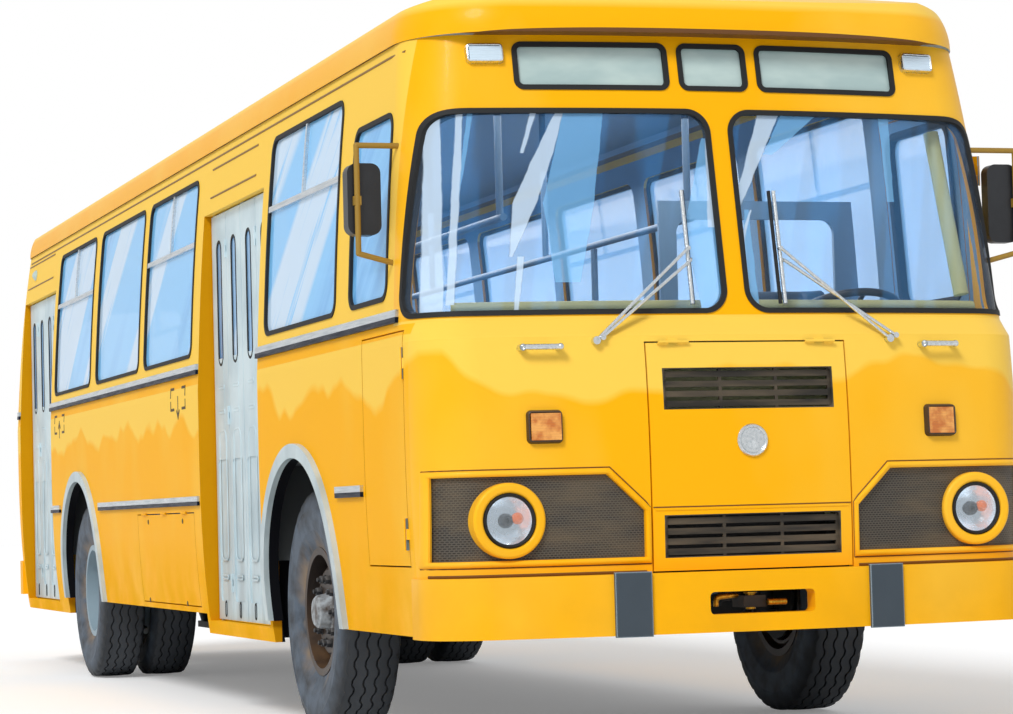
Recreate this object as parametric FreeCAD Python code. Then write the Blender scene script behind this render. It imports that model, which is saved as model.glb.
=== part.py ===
import FreeCAD, Part
import math
import os

# A four-wheeled city bus with its engine at the front beside the driver.
# Millimetres. +Z is up, the front faces -Y and the passenger doors are at -X.
# s is a distance behind the front bumper's face and z a height above the road.

V = FreeCAD.Vector
os.makedirs("parts", exist_ok=True)

# Overall sizes
LENGTH = 10500.0
WHEELBASE = 5540.0
FRONT_AXLE_S = 2160.0
REAR_AXLE_S = FRONT_AXLE_S + WHEELBASE

# Body form: height, half width, front s and rear s of each plan section
SECTIONS_LOW = [(330.0, 1195.0, 75.0, 10330.0), (720.0, 1236.0, 65.0, 10400.0),
                (1040.0, 1248.0, 60.0, 10430.0), (1570.0, 1250.0, 92.0, 10450.0)]
SECTIONS_UP = [(1640.0, 1246.0, 160.0, 10445.0), (2050.0, 1226.0, 240.0, 10395.0),
               (2450.0, 1196.0, 318.0, 10320.0), (2745.0, 1164.0, 378.0, 10240.0)]
FRONT_CORNER_R = 260.0
REAR_CORNER_R = 200.0
PLAN_R = 6000.0
WALL = 45.0
WAIST_Z = SECTIONS_UP[0][0]
CANT_Z = SECTIONS_UP[-1][0]

# Roof
ROOF_HALF = 1175.0
ROOF_FRONT_S = 285.0
ROOF_REAR_S = 10262.0
ROOF_TOP_Z = 3000.0
ROOF_EDGE_R = 250.0
ROOF_CORNER_R = (420.0, 262.0)
ROOF_CROWN_R = 5300.0
ROOF_SKIN = 40.0
ROOF_FALL = ((1080.0, 285.0, 130.0), (9350.0, 10262.0, 95.0))

# Seams between the panels
SEAM_S = 380.0
PILLAR_SEAM_S = 568.0
REAR_SEAM_S = 10115.0
SKIRT_Z = 465.0
SILL_SKIRT_Z = 368.0
GAP = 6.0
FIT = 0.3

# Windows
SEAL_W = 20.0
SEAL_PROUD = 5.0
SEAL_DEPTH = 30.0
GLASS_IN = 9.0
GLASS_T = 6.0
WINDOW_R = 75.0
WINDOW_Z = (1740.0, 2640.0)
NARROW_WINDOW = (660.0, 1240.0, 1745.0, 2480.0)
FRONT_WINDOW = (1450.0, 2730.0)
RIGHT_WINDOWS = [(4330.0, 5600.0), (5740.0, 7100.0), (7280.0, 8600.0)]
LEFT_WINDOWS = [(2890.0, 4170.0), (4330.0, 5600.0), (5740.0, 7100.0), (7280.0, 8600.0), (8760.0, 10000.0)]
PLAIN_WINDOWS = [(5740.0, 7100.0)]
VENT_RAIL_Z = 2310.0
RAIL_H = 26.0
SCREEN_Z = (1656.0, 2456.0)
SCREEN_POST = 36.0
SCREEN_WRAP_S = 488.0
SCREEN_R = 95.0
SIGN_Z = (2528.0, 2718.0)
SIGN_R = 38.0
SIGN_X = [(-795.0, -182.0), (-143.0, 143.0), (182.0, 795.0)]
REAR_SCREEN_Z = (1760.0, 2440.0)
REAR_WRAP_S = 10250.0

# Passenger doors: four leaves each, folded inward in pairs
DOORS = {"front_door": 2862.0, "rear_door": 8742.0}
DOOR_OPENING = 1300.0
DOOR_Z = (432.0, 2432.0)
DOOR_FACE_X = -1165.0
LEAF_T = 30.0
LEAF_GAP = 6.0
LEAF_END = 8.0
LEAF_PIVOT = 15.0
JAMB_GAP = 12.0
KNUCKLE_OUT = 5.0
HINGE_R = 5.0
PIVOT_R = 9.0
CASE_IN_X = -1095.0
JAMB_T = 14.0
CASE_H = 46.0
SLOT_START = 44.0
SLOT_W = 96.0
SLOT_Z = (1330.0, 2290.0)
STEP_TREAD_X = -800.0
STEP_INNER_X = -572.3
PLATE = 8.0

# Driver's door and the hinged flaps
DRIVER_DOOR = (600.0, 1300.0, 560.0, 2540.0)
HATCH = (434.0, 1030.0, 726.0, 1618.0)
FLAP = (4330.0, 5840.0, 492.0, 968.0)
HOOD_HALF = 408.0
HOOD_Z = (690.0, 1547.0)
PANEL_T = 28.0

# Front face
BUMPER_Z = (458.0, 684.0)
BUMPER_T = 75.0
BUMPER_END_S = 428.0
BUMPER_SLOT = (211.0, 524.0, 608.0)
GUARD_X = (440.0, 580.0)
GUARD_OUT = 15.0
UPPER_GRILLE = (339.0, 1294.0, 1442.0)
LOWER_GRILLE = (351.0, 742.0, 893.0)
RECESS_Z = (745.0, 1055.0)
RECESS_X = (432.0, 1210.0)
RECESS_SLANT = (142.0, 918.0)
RECESS_DEPTH = 24.0
LAMP_X = 948.0
LAMP_Z = 892.0
LAMP_R = 140.0
LAMP_DEPTH = 120.0
BEZEL_W = 38.0
RECESS_FRAME = 14.0
GRILLE_T = 10.0
TURN_X = 803.0
TURN_Z = 1235.0
TURN_SIZE = 112.0
MARKER_X = 900.0
MARKER_Z = 2668.0
LAMP_PROUD = 24.0
TRIM_PROUD = 14.0

# Wheels and axles
TYRE_R = 520.0
TYRE_W = 270.0
RIM_R = 256.0
RIM_W = 196.0
RIM_FLANGE = (10.0, 19.0)
FRONT_TRACK = 2115.0
REAR_TRACK = 1840.0
REAR_PLATE_X = 690.0
TWIN_PITCH = 310.0
KINGPIN_X = 900.0
KINGPIN_R = 34.0
SPINDLE_R = 42.0
BEARING_GAP = 0.05
ARCH_R = 630.0
ARCH_Z = 552.0
ARCH_TRIM_W = 62.0
WAIST_TRIM_Z = (1650.0, 1700.0)
RUB_TRIM_Z = (1000.0, 1046.0)
ARCH_TRIM_PROUD = 24.0
WHEELBOX_HALF = 645.0
WHEELBOX_TOP = 1160.0
WHEELBOX_X = 572.0

# Underbody
FLOOR_Z = 865.0
FLOOR_T = 25.0
RAIL_X = (385.0, 455.0)
RAIL_Z = (650.0, 835.0)
RAIL_T = 9.0


def y(s):
    return s - LENGTH / 2


def point(x, s, z):
    return V(x, y(s), z)


def block(x0, x1, s0, s1, z0, z1):
    return Part.makeBox(x1 - x0, s1 - s0, z1 - z0, point(x0, s0, z0))


def rod(a, b, r):
    return Part.makeCylinder(r, (b - a).Length, a, b - a)


def mirrored(shape):
    return shape.mirror(V(0, 0, 0), V(1, 0, 0))


def both_sides(shape):
    return [shape, mirrored(shape)]


def solids(shapes):
    return [one for shape in shapes for one in shape.Solids]


def save(node, *shapes):
    Part.makeCompound(solids(shapes)).exportStep("parts/%s.step" % node)


def corner_arc(end_s, half, radius, towards):
    """Points where a corner arc meets the bowed end and the straight side of a plan section."""
    cx = half - radius
    cs = end_s + towards * (PLAN_R - math.sqrt((PLAN_R - radius) ** 2 - cx ** 2))
    bow_s = end_s + towards * PLAN_R
    reach = math.hypot(cx, cs - bow_s)
    start = (cx / reach * PLAN_R, bow_s + (cs - bow_s) / reach * PLAN_R)
    turn = math.atan2(start[1] - cs, start[0] - cx) / 2
    middle = (cx + radius * math.cos(turn), cs + radius * math.sin(turn))
    return start, middle, (half, cs)


def plan(z, half, front_s, rear_s, inset=0.0, front_r=FRONT_CORNER_R, rear_r=REAR_CORNER_R):
    """Closed plan outline of the body at one height, moved inward by inset."""
    half, front_s, rear_s = half - inset, front_s + inset, rear_s - inset
    f1, f2, f3 = corner_arc(front_s, half, front_r - inset, 1)
    r1, r2, r3 = corner_arc(rear_s, half, rear_r - inset, -1)

    def at(p, side=1):
        return point(side * p[0], p[1], z)

    def arc(a, b, c):
        return Part.Arc(a, b, c).toShape()

    def line(a, b):
        return Part.LineSegment(a, b).toShape()

    return Part.Wire([
        arc(at(f1, -1), point(0, front_s, z), at(f1)), arc(at(f1), at(f2), at(f3)),
        line(at(f3), at(r3)), arc(at(r3), at(r2), at(r1)),
        arc(at(r1), point(0, rear_s, z), at(r1, -1)), arc(at(r1, -1), at(r2, -1), at(r3, -1)),
        line(at(r3, -1), at(f3, -1)), arc(at(f3, -1), at(f2, -1), at(f1, -1))])


FORMS = {}
LAYERS = {}


def form(inset):
    """Solid body form up to the roof, each plan section moved inward by inset."""
    if inset not in FORMS:
        low = Part.makeLoft([plan(*q, inset=inset) for q in SECTIONS_LOW], True, False)
        ledge = Part.makeLoft([plan(*q, inset=inset) for q in (SECTIONS_LOW[-1], SECTIONS_UP[0])], True, True)
        high = Part.makeLoft([plan(*q, inset=inset) for q in SECTIONS_UP], True, False)
        FORMS[inset] = low.fuse([ledge, high])
    return FORMS[inset]


def layer(outer, inner):
    """The whole skin between two insets."""
    if (outer, inner) not in LAYERS:
        LAYERS[outer, inner] = form(outer).cut(form(inner))
    return LAYERS[outer, inner]


def shell(outer, inner, region):
    """The layer of the body between two insets, inside a region."""
    return region.common(layer(outer, inner))


def bow(x):
    """How far the bowed front or rear falls back at a distance x from the middle."""
    return PLAN_R - math.sqrt(PLAN_R ** 2 - x ** 2)


def rounded_wire(a0, a1, b0, b1, r, place):
    """Rounded rectangle; place(a, b) gives the 3-D point."""
    k = r * (1 - math.sqrt(0.5))
    e = []
    corners = [((a0, b0 + r), (a0 + k, b0 + k), (a0 + r, b0)), ((a1 - r, b0), (a1 - k, b0 + k), (a1, b0 + r)),
               ((a1, b1 - r), (a1 - k, b1 - k), (a1 - r, b1)), ((a0 + r, b1), (a0 + k, b1 - k), (a0, b1 - r))]
    for i, (p, m, q) in enumerate(corners):
        e.append(Part.Arc(place(*p), place(*m), place(*q)).toShape())
        e.append(Part.LineSegment(place(*q), place(*corners[(i + 1) % 4][0])).toShape())
    return Part.Wire(e)


def side_prism(s0, s1, z0, z1, r, x0, x1):
    wire = rounded_wire(s0, s1, z0, z1, r, lambda a, b: point(x0, a, b))
    return Part.Face(wire).extrude(V(x1 - x0, 0, 0))


def front_prism(x0, x1, z0, z1, r, s0, s1):
    wire = rounded_wire(x0, x1, z0, z1, r, lambda a, b: point(a, s0, b))
    return Part.Face(wire).extrude(V(0, s1 - s0, 0))


def polygon_prism(points, direction):
    return Part.Face(Part.makePolygon(points + [points[0]])).extrude(direction)


def surface_x(s, z):
    """Half width of the outer skin at a place on the side."""
    line = Part.makeLine(point(0, s, z), point(1400, s, z))
    return line.common(form(0.0)).BoundBox.XMax


def surface_s(x, z):
    """Distance s of the front skin at a place on the front."""
    line = Part.makeLine(point(x, -50, z), point(x, 1200, z))
    return line.common(form(0.0)).BoundBox.YMin + LENGTH / 2


OUT = 1420.0
IN = 1000.0


def side_window(s0, s1, z0=WINDOW_Z[0], z1=WINDOW_Z[1], inset=0.0):
    return side_prism(s0 + inset, s1 - inset, z0 + inset, z1 - inset, WINDOW_R - inset, IN, OUT)


def screen_pane(inset=0.0):
    """Left windscreen pane: rounded at the centre post and at its end round the corner."""
    z0, z1 = SCREEN_Z[0] + inset, SCREEN_Z[1] - inset
    across = front_prism(SCREEN_POST + inset, OUT, z0, z1, SCREEN_R - inset, -50, IN)
    back = side_prism(-200, SCREEN_WRAP_S - inset, z0, z1, SCREEN_R - inset, 0, OUT)
    return across.common(back)


def rear_pane(inset=0.0):
    z0, z1 = REAR_SCREEN_Z[0] + inset, REAR_SCREEN_Z[1] - inset
    across = front_prism(SCREEN_POST + inset, OUT, z0, z1, SCREEN_R - inset, LENGTH - IN, LENGTH + 50)
    back = side_prism(REAR_WRAP_S + inset, LENGTH + 200, z0, z1, SCREEN_R - inset, 0, OUT)
    return across.common(back)


def sign_window(x0, x1, inset=0.0):
    return front_prism(x0 + inset, x1 - inset, SIGN_Z[0] + inset, SIGN_Z[1] - inset, SIGN_R - inset, 0, IN)


def right_window_list():
    return [NARROW_WINDOW, FRONT_WINDOW + WINDOW_Z] + [w + WINDOW_Z for w in RIGHT_WINDOWS]


def left_window_list():
    return [FRONT_WINDOW + WINDOW_Z] + [w + WINDOW_Z for w in LEFT_WINDOWS]


def glazing(inset):
    """Every fixed window opening, as prisms with the same inset."""
    right = [mirrored(side_window(*w, inset=inset)) for w in right_window_list()]
    left = [side_window(*w, inset=inset) for w in left_window_list()]
    screens = both_sides(screen_pane(inset)) + both_sides(rear_pane(inset))
    return right, left, screens, [sign_window(*w, inset=inset) for w in SIGN_X]


def arch_prism(s, r, x0, x1, z_low=200.0):
    """Wheel opening: a half circle over straight sides."""
    top = point(x0, s, ARCH_Z + r)
    a, b = point(x0, s - r, ARCH_Z), point(x0, s + r, ARCH_Z)
    c, d = point(x0, s + r, z_low), point(x0, s - r, z_low)
    edges = [Part.Arc(a, top, b).toShape()] + [Part.makeLine(p, q) for p, q in ((b, c), (c, d), (d, a))]
    return Part.Face(Part.Wire(edges)).extrude(V(x1 - x0, 0, 0))


def door_case(s0):
    """Jambs, lintel and sill round a passenger doorway, with the leaves' pivot holes and guide slot."""
    s1 = s0 + DOOR_OPENING
    z0, z1 = DOOR_Z
    outer = block(-OUT, CASE_IN_X, s0 - JAMB_T, s1 + JAMB_T, z0 - CASE_H, z1 + CASE_H)
    case = outer.cut(block(-OUT, -IN, s0, s1, z0, z1)).common(form(0.0))
    x = DOOR_FACE_X + LEAF_T / 2
    pivots = [s0 + JAMB_GAP + LEAF_PIVOT, s1 - JAMB_GAP - LEAF_PIVOT]
    holes = [rod(point(x, s, a), point(x, s, b), PIVOT_R + FIT) for s in pivots
             for a, b in ((z0 - CASE_H / 2, z0 + 5), (z1 - 5, z1 + CASE_H / 2))]
    slot = block(x - PIVOT_R - FIT, x + PIVOT_R + FIT, pivots[0] + SLOT_START, pivots[1] - SLOT_START,
                 z1 - 5, z1 + CASE_H / 2)
    holes.append(slot)
    return case.cut(holes), holes


def hinge(axis_a, axis_b, anchor_fixed, anchor_moving, r=HINGE_R):
    """Three knuckles on one line: the middle one on the fixed side, the ends on the moving side."""
    third = (axis_b - axis_a) * (1 / 3.0)
    step = third * (FIT / third.Length)
    fixed = rod(axis_a + third, axis_b - third, r).fuse(tab(axis_a + third, axis_b - third, anchor_fixed, r))
    ends = [(axis_a, axis_a + third - step), (axis_b - third + step, axis_b)]
    moving = [rod(p, q, r).fuse(tab(p, q, anchor_moving, r)) for p, q in ends]
    return fixed, moving


def tab(p, q, anchor, r):
    """Flat strap from a knuckle to its panel; anchor is the step from the axis into the panel."""
    side = anchor.cross(q - p)
    side = side * (r * 0.45 / side.Length)
    return polygon_prism([p + side, p - side, p - side + anchor, p + side + anchor], q - p)


def side_skirt(left):
    """The skin of one side down to its skirt, before windows and doors are cut."""
    x0, x1 = (0, OUT) if left else (-OUT, 0)
    region = [block(x0, x1, SEAM_S, PILLAR_SEAM_S, SKIRT_Z, WAIST_Z),
              block(x0, x1, PILLAR_SEAM_S, REAR_SEAM_S, SKIRT_Z, CANT_Z)]
    if not left:
        for a, b in ((DOORS["front_door"] - 45, DOORS["front_door"] + DOOR_OPENING + 60),
                     (REAR_AXLE_S + ARCH_R + ARCH_TRIM_W + 4, REAR_SEAM_S)):
            region.append(block(x0, x1, a, b, SILL_SKIRT_Z, SKIRT_Z))
    return shell(0.0, WALL, region[0].fuse(region[1:]))


def wheel_cuts(left):
    x0, x1 = (IN, OUT) if left else (-OUT, -IN)
    return [arch_prism(s, ARCH_R, x0, x1) for s in (FRONT_AXLE_S, REAR_AXLE_S)]


def panel_cut(s0, s1, z0, z1, left):
    x0, x1 = (IN, OUT) if left else (-OUT, -IN)
    return block(x0, x1, s0, s1, z0, z1)


def make_sides():
    right_windows, left_windows, screens, signs = glazing(0.0)
    cuts = right_windows + wheel_cuts(False) + screens
    cuts += [block(-OUT, -IN, s, s + DOOR_OPENING, *DOOR_Z) for s in DOORS.values()]
    cuts += [panel_cut(*HATCH, left=False), panel_cut(*FLAP, left=False)]
    cases = [door_case(s) for s in DOORS.values()]
    cuts += [hole for case, holes in cases for hole in holes]
    right = side_skirt(False).cut(cuts).fuse([case for case, holes in cases])
    left = side_skirt(True).cut(left_windows + wheel_cuts(True) + screens + [panel_cut(*DRIVER_DOOR, left=True)])

    fixed, moving = vertical_hinges(HATCH[0], HATCH[2:], -1)
    right = right.fuse(fixed)
    hatch = shell(0.0, PANEL_T, shrink(panel_cut(*HATCH, left=False), GAP)).fuse(moving)

    fixed, moving = flap_hinges()
    right = right.fuse(fixed)
    flap = shell(0.0, PANEL_T, shrink(panel_cut(*FLAP, left=False), GAP)).fuse(moving)

    fixed, moving = vertical_hinges(DRIVER_DOOR[0], DRIVER_DOOR[2:], 1)
    left = left.fuse(fixed)
    door = shell(0.0, WALL, shrink(panel_cut(*DRIVER_DOOR, left=True), GAP))
    door = door.cut(side_window(*NARROW_WINDOW)).fuse(moving)
    return right, left, hatch, flap, door


def shrink(box, gap):
    b = box.BoundBox
    s = LENGTH / 2
    return block(b.XMin, b.XMax, b.YMin + s + gap, b.YMax + s - gap, b.ZMin + gap, b.ZMax - gap)


HINGE_LEN = 120.0
PANEL_OUT = 7.0


def hinge_x(s, z0, z1):
    """A straight vertical hinge line stands just outside the widest stretch of the side."""
    return max(surface_x(s, z) for z in (z0, (z0 + z1) / 2, z1)) + PANEL_OUT


def vertical_hinges(s, heights, side):
    """Two hinges on the front edge of a side panel; side is -1 on the right, 1 on the left."""
    z0, z1 = heights
    x = side * hinge_x(s, z0, z1)
    fixed, moving = [], []
    for z in (z0 + 0.14 * (z1 - z0), z0 + 0.86 * (z1 - z0)):
        a, b = point(x, s + GAP / 2, z - HINGE_LEN / 2), point(x, s + GAP / 2, z + HINGE_LEN / 2)
        reach = abs(x) - surface_x(s, z) + 12
        f, m = hinge(a, b, V(-side * reach, -14, 0), V(-side * reach, 14, 0))
        fixed.append(f)
        moving += m
    return fixed, moving


def flap_hinges():
    """Three hinges along the top edge of the skirt flap."""
    s0, s1, z0, z1 = FLAP
    x = -(surface_x(s0, z1) + PANEL_OUT)
    fixed, moving = [], []
    for k in (0.15, 0.5, 0.85):
        s = s0 + k * (s1 - s0)
        a, b = point(x, s - HINGE_LEN / 2, z1 - GAP / 2), point(x, s + HINGE_LEN / 2, z1 - GAP / 2)
        f, m = hinge(a, b, V(PANEL_OUT + 12, 0, 14), V(PANEL_OUT + 12, 0, -14))
        fixed.append(f)
        moving += m
    return fixed, moving


def recess_prism(inset=0.0):
    """Lamp recess on the left of the front: its inner end slants, its outer end runs round the corner."""
    z0, z1 = RECESS_Z[0] + inset, RECESS_Z[1] - inset
    x0, x1 = RECESS_X[0] + inset, RECESS_X[1] - inset
    slant, corner_z = RECESS_SLANT
    pts = [(x0, z0), (x1, z0), (x1, z1), (x0 + slant, z1), (x0, corner_z)]
    return polygon_prism([point(x, -50, z) for x, z in pts], V(0, 600, 0))


def make_front():
    """Front mask, hood and grilles."""
    region = block(-OUT, OUT, -100, SEAM_S, BUMPER_Z[1], WAIST_Z)
    mask = shell(0.0, WALL, region)
    hood_hole = block(-HOOD_HALF, HOOD_HALF, -100, IN, HOOD_Z[0] - 40, HOOD_Z[1])
    socket = recess_prism().cut(form(RECESS_DEPTH))
    frame = shell(-SEAL_PROUD, GLASS_IN, recess_prism(-RECESS_FRAME).cut(recess_prism()))
    mask = mask.cut([hood_hole] + both_sides(socket) + both_sides(lamp_hole())).fuse(both_sides(frame))

    hood = shell(0.0, PANEL_T, block(-HOOD_HALF + GAP, HOOD_HALF - GAP, -100, IN, HOOD_Z[0], HOOD_Z[1] - GAP))
    grilles = []
    for half, z0, z1 in (UPPER_GRILLE, LOWER_GRILLE):
        hood = hood.cut(front_prism(-half, half, z0, z1, 12, -100, IN))
        grilles.append(louvres(half, z0, z1))
    x, z = HOOD_HALF - 110, HOOD_Z[1] - GAP / 2
    s = surface_s(0, z) - PANEL_OUT
    for side in (-1, 1):
        a, b = point(side * x - HINGE_LEN / 2, s, z), point(side * x + HINGE_LEN / 2, s, z)
        reach = surface_s(x, z) - s + 12
        fixed, moving = hinge(a, b, V(0, reach, 14), V(0, reach, -14))
        mask = mask.fuse(fixed)
        hood = hood.fuse(moving)
    return mask, hood.fuse(grilles), s, z


def louvres(half, z0, z1):
    """Slats of a hood grille between two upright edge strips."""
    count = max(3, int((z1 - z0) / 32))
    pitch = (z1 - z0) / count
    slats = [block(-half - 2, half + 2, -100, IN, z0 + k * pitch + 6, z0 + k * pitch + pitch - 8)
             for k in range(count)]
    posts = [block(x - 6, x + 6, -100, IN, z0 - 4, z1 + 4) for x in (-half + 4, -half / 3, half / 3, half - 4)]
    return shell(RECESS_DEPTH - GRILLE_T, RECESS_DEPTH, slats[0].fuse(slats[1:] + posts))


def make_recess_grilles():
    mesh = shell(RECESS_DEPTH - GRILLE_T, RECESS_DEPTH, recess_prism(FIT)).cut(lamp_hole())
    return both_sides(mesh)


def lamp_front_s():
    return surface_s(LAMP_X - LAMP_R * 0.5, LAMP_Z) - 18


def lamp_hole():
    """Round hole through the left lamp recess."""
    s = lamp_front_s()
    return rod(point(LAMP_X, s - 40, LAMP_Z), point(LAMP_X, s + LAMP_DEPTH + 60, LAMP_Z), LAMP_R + FIT)


def make_headlamps():
    """Round lamp: a painted bezel ring, a rim and a domed glass, one each side."""
    s = lamp_front_s()
    a = point(LAMP_X, s, LAMP_Z)
    back = s + LAMP_DEPTH
    inner = LAMP_R - BEZEL_W
    ring = rod(a, point(LAMP_X, back, LAMP_Z), LAMP_R)
    ring = ring.cut(rod(point(LAMP_X, s - 5, LAMP_Z), point(LAMP_X, back + 5, LAMP_Z), inner))
    bezel = ring.makeFillet(13, [e for e in ring.Edges if e.Closed and abs(e.BoundBox.YMax - a.y) < 0.01])
    glass = rod(point(LAMP_X, s + 20, LAMP_Z), point(LAMP_X, back, LAMP_Z), inner - FIT)
    dome = Part.makeSphere(260, point(LAMP_X, s + 6 + 260, LAMP_Z))
    return both_sides(bezel), both_sides(glass.common(dome))


def make_small_lamps():
    """Square turn lamps and marker lamps at the front, tail lamps at the back."""
    turn = block(TURN_X - TURN_SIZE / 2, TURN_X + TURN_SIZE / 2, -100, IN,
                 TURN_Z - TURN_SIZE / 2 + 6, TURN_Z + TURN_SIZE / 2 - 6)
    marker = block(MARKER_X - 62, MARKER_X + 62, -100, IN, MARKER_Z - 28, MARKER_Z + 28)
    front = shell(-LAMP_PROUD, 0.0, turn.common(block(0, OUT, -100, SEAM_S, 0, 3000)))
    mark = shell(-LAMP_PROUD, 0.0, marker.common(block(0, OUT, -100, PILLAR_SEAM_S, 0, 3000)))
    tail = [shell(-LAMP_PROUD, 0.0, block(930, 1060, LENGTH - 400, LENGTH + 100, z, z + 105))
            for z in (900, 1015, 1130)]
    return [s for one in [front, mark] + tail for s in both_sides(one)]


def make_windscreen_frame():
    region = block(-OUT, OUT, -100, PILLAR_SEAM_S, WAIST_Z, CANT_Z)
    right, left, screens, signs = glazing(0.0)
    return shell(0.0, WALL, region).cut(screens + signs)


def make_rear_wall():
    region = block(-OUT, OUT, REAR_SEAM_S, LENGTH + 100, BUMPER_Z[1], CANT_Z)
    right, left, screens, signs = glazing(0.0)
    wall = shell(0.0, WALL, region).cut(screens)
    for x in (-PLATE_HOLES / 2, PLATE_HOLES / 2):
        wall = wall.cut(rod(point(x, LENGTH - 300, PLATE_Z), point(x, LENGTH + 100, PLATE_Z), PLATE_HOLE_R))
    return wall


PLATE_HOLES = 290.0
PLATE_Z = 790.0
PLATE_HOLE_R = 3.5


def make_glass():
    """Seals in every opening and the panes that they hold."""
    outer, inner = glazing(0.0), glazing(SEAL_W)
    rings = [o.cut(i) for outs, ins in zip(outer, inner) for o, i in zip(outs, ins)]
    seals = shell(-SEAL_PROUD, SEAL_DEPTH, Part.makeCompound(rings))
    return [seals] + [shell(GLASS_IN, GLASS_IN + GLASS_T, Part.makeCompound(group)) for group in inner]


def make_vent_frames():
    """Light metal rails that divide a window below its sliding vents."""
    rails = []
    for windows, flip in ((right_window_list()[1:], True), (left_window_list(), False)):
        for s0, s1, z0, z1 in windows:
            if (s0, s1) in PLAIN_WINDOWS:
                continue
            a, b = s0 + SEAL_W, s1 - SEAL_W
            mid = (a + b) / 2
            bar = block(IN, OUT, a, b, VENT_RAIL_Z - RAIL_H / 2, VENT_RAIL_Z + RAIL_H / 2)
            post = block(IN, OUT, mid - 11, mid + 11, VENT_RAIL_Z, z1 - SEAL_W)
            rail = shell(-SEAL_PROUD, GLASS_IN, bar.fuse(post))
            rails.append(mirrored(rail) if flip else rail)
    return rails


def roof_outline(drop):
    """Everything under the roof's lengthwise line, which falls away towards both ends."""
    top = ROOF_TOP_Z - drop
    (f1, f0, fall), (r1, r0, tail) = ROOF_FALL
    ends = [point(-OUT, f0, top - fall), point(-OUT, (f0 + f1) / 2, top - fall / 4), point(-OUT, f1, top),
            point(-OUT, r1, top), point(-OUT, (r0 + r1) / 2, top - tail / 4), point(-OUT, r0, top - tail)]
    low = [point(-OUT, r0 + 100, CANT_Z - 10), point(-OUT, f0 - 100, CANT_Z - 10)]
    after, before = point(-OUT, r0 + 100, top - tail - 20), point(-OUT, f0 - 100, top - fall - 30)
    edges = [Part.Arc(*ends[:3]).toShape(), Part.makeLine(ends[2], ends[3]), Part.Arc(*ends[3:]).toShape()]
    corners = [ends[5], after] + low + [before, ends[0]]
    edges += [Part.makeLine(p, q) for p, q in zip(corners, corners[1:])]
    return Part.Face(Part.Wire(edges)).extrude(V(2 * OUT, 0, 0))


def make_roof():
    """Crowned roof shell whose edge overhangs the walls as a gutter and, at the front, as a peak."""
    def cap(inset):
        top = ROOF_TOP_Z - inset
        base = Part.Face(plan(CANT_Z, ROOF_HALF, ROOF_FRONT_S, ROOF_REAR_S, inset, *ROOF_CORNER_R))
        raised = base.extrude(V(0, 0, top - CANT_Z))
        rim = [e for e in raised.Edges if abs(e.BoundBox.ZMin - top) < 0.1 and abs(e.BoundBox.ZMax - top) < 0.1]
        raised = raised.makeFillet(ROOF_EDGE_R - inset, rim)
        crown = Part.makeCylinder(ROOF_CROWN_R, LENGTH + 200, V(0, -LENGTH / 2 - 100, top - ROOF_CROWN_R), V(0, 1, 0))
        return raised.common(crown).common(roof_outline(inset))
    lip = Part.Face(plan(*SECTIONS_UP[-1], inset=WALL)).extrude(V(0, 0, ROOF_SKIN + 1))
    return cap(0.0).cut([cap(ROOF_SKIN).common(block(-OUT, OUT, 0, LENGTH, CANT_Z + ROOF_SKIN, ROOF_TOP_Z)), lip])


def strip(s0, s1, heights, flip):
    bar = shell(-TRIM_PROUD, 0.0, block(IN, OUT, s0, s1, *heights))
    return mirrored(bar) if flip else bar


def make_mouldings():
    """Waist rail under the windows and the lower rub rail, broken at doors and arches."""
    edge = ARCH_R + ARCH_TRIM_W + 4
    f0, f1 = FRONT_AXLE_S - edge, FRONT_AXLE_S + edge
    r0, r1 = REAR_AXLE_S - edge, REAR_AXLE_S + edge
    d, e = DOORS["front_door"], DOORS["rear_door"]
    w = DOOR_OPENING
    waist_right = [(SCREEN_WRAP_S + 12, d - 4), (d + w + 4, e - 4), (e + w + 4, REAR_SEAM_S)]
    waist_left = [(SCREEN_WRAP_S + 12, DRIVER_DOOR[0] - 12), (DRIVER_DOOR[1] + 12, REAR_SEAM_S)]
    rub_right = [(HATCH[1] + 30, f0), (d + w + 20, r0), (r1, e - 6)]
    rub_left = [(DRIVER_DOOR[1] + 12, f0), (f1, r0), (r1, REAR_SEAM_S)]
    bars = [strip(a, b, WAIST_TRIM_Z, flip) for spans, flip in ((waist_right, True), (waist_left, False))
            for a, b in spans]
    bars += [strip(a, b, RUB_TRIM_Z, flip) for spans, flip in ((rub_right, True), (rub_left, False))
             for a, b in spans]
    return bars


def make_arch_trims():
    """Flared strips round the wheel openings."""
    trims = []
    for s in (FRONT_AXLE_S, REAR_AXLE_S):
        outer = arch_prism(s, ARCH_R + ARCH_TRIM_W, IN, OUT, SKIRT_Z + 2)
        inner = arch_prism(s, ARCH_R, IN, OUT, SKIRT_Z - 10)
        trims += both_sides(shell(-ARCH_TRIM_PROUD, 0.0, outer.cut(inner)))
    return trims


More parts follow.
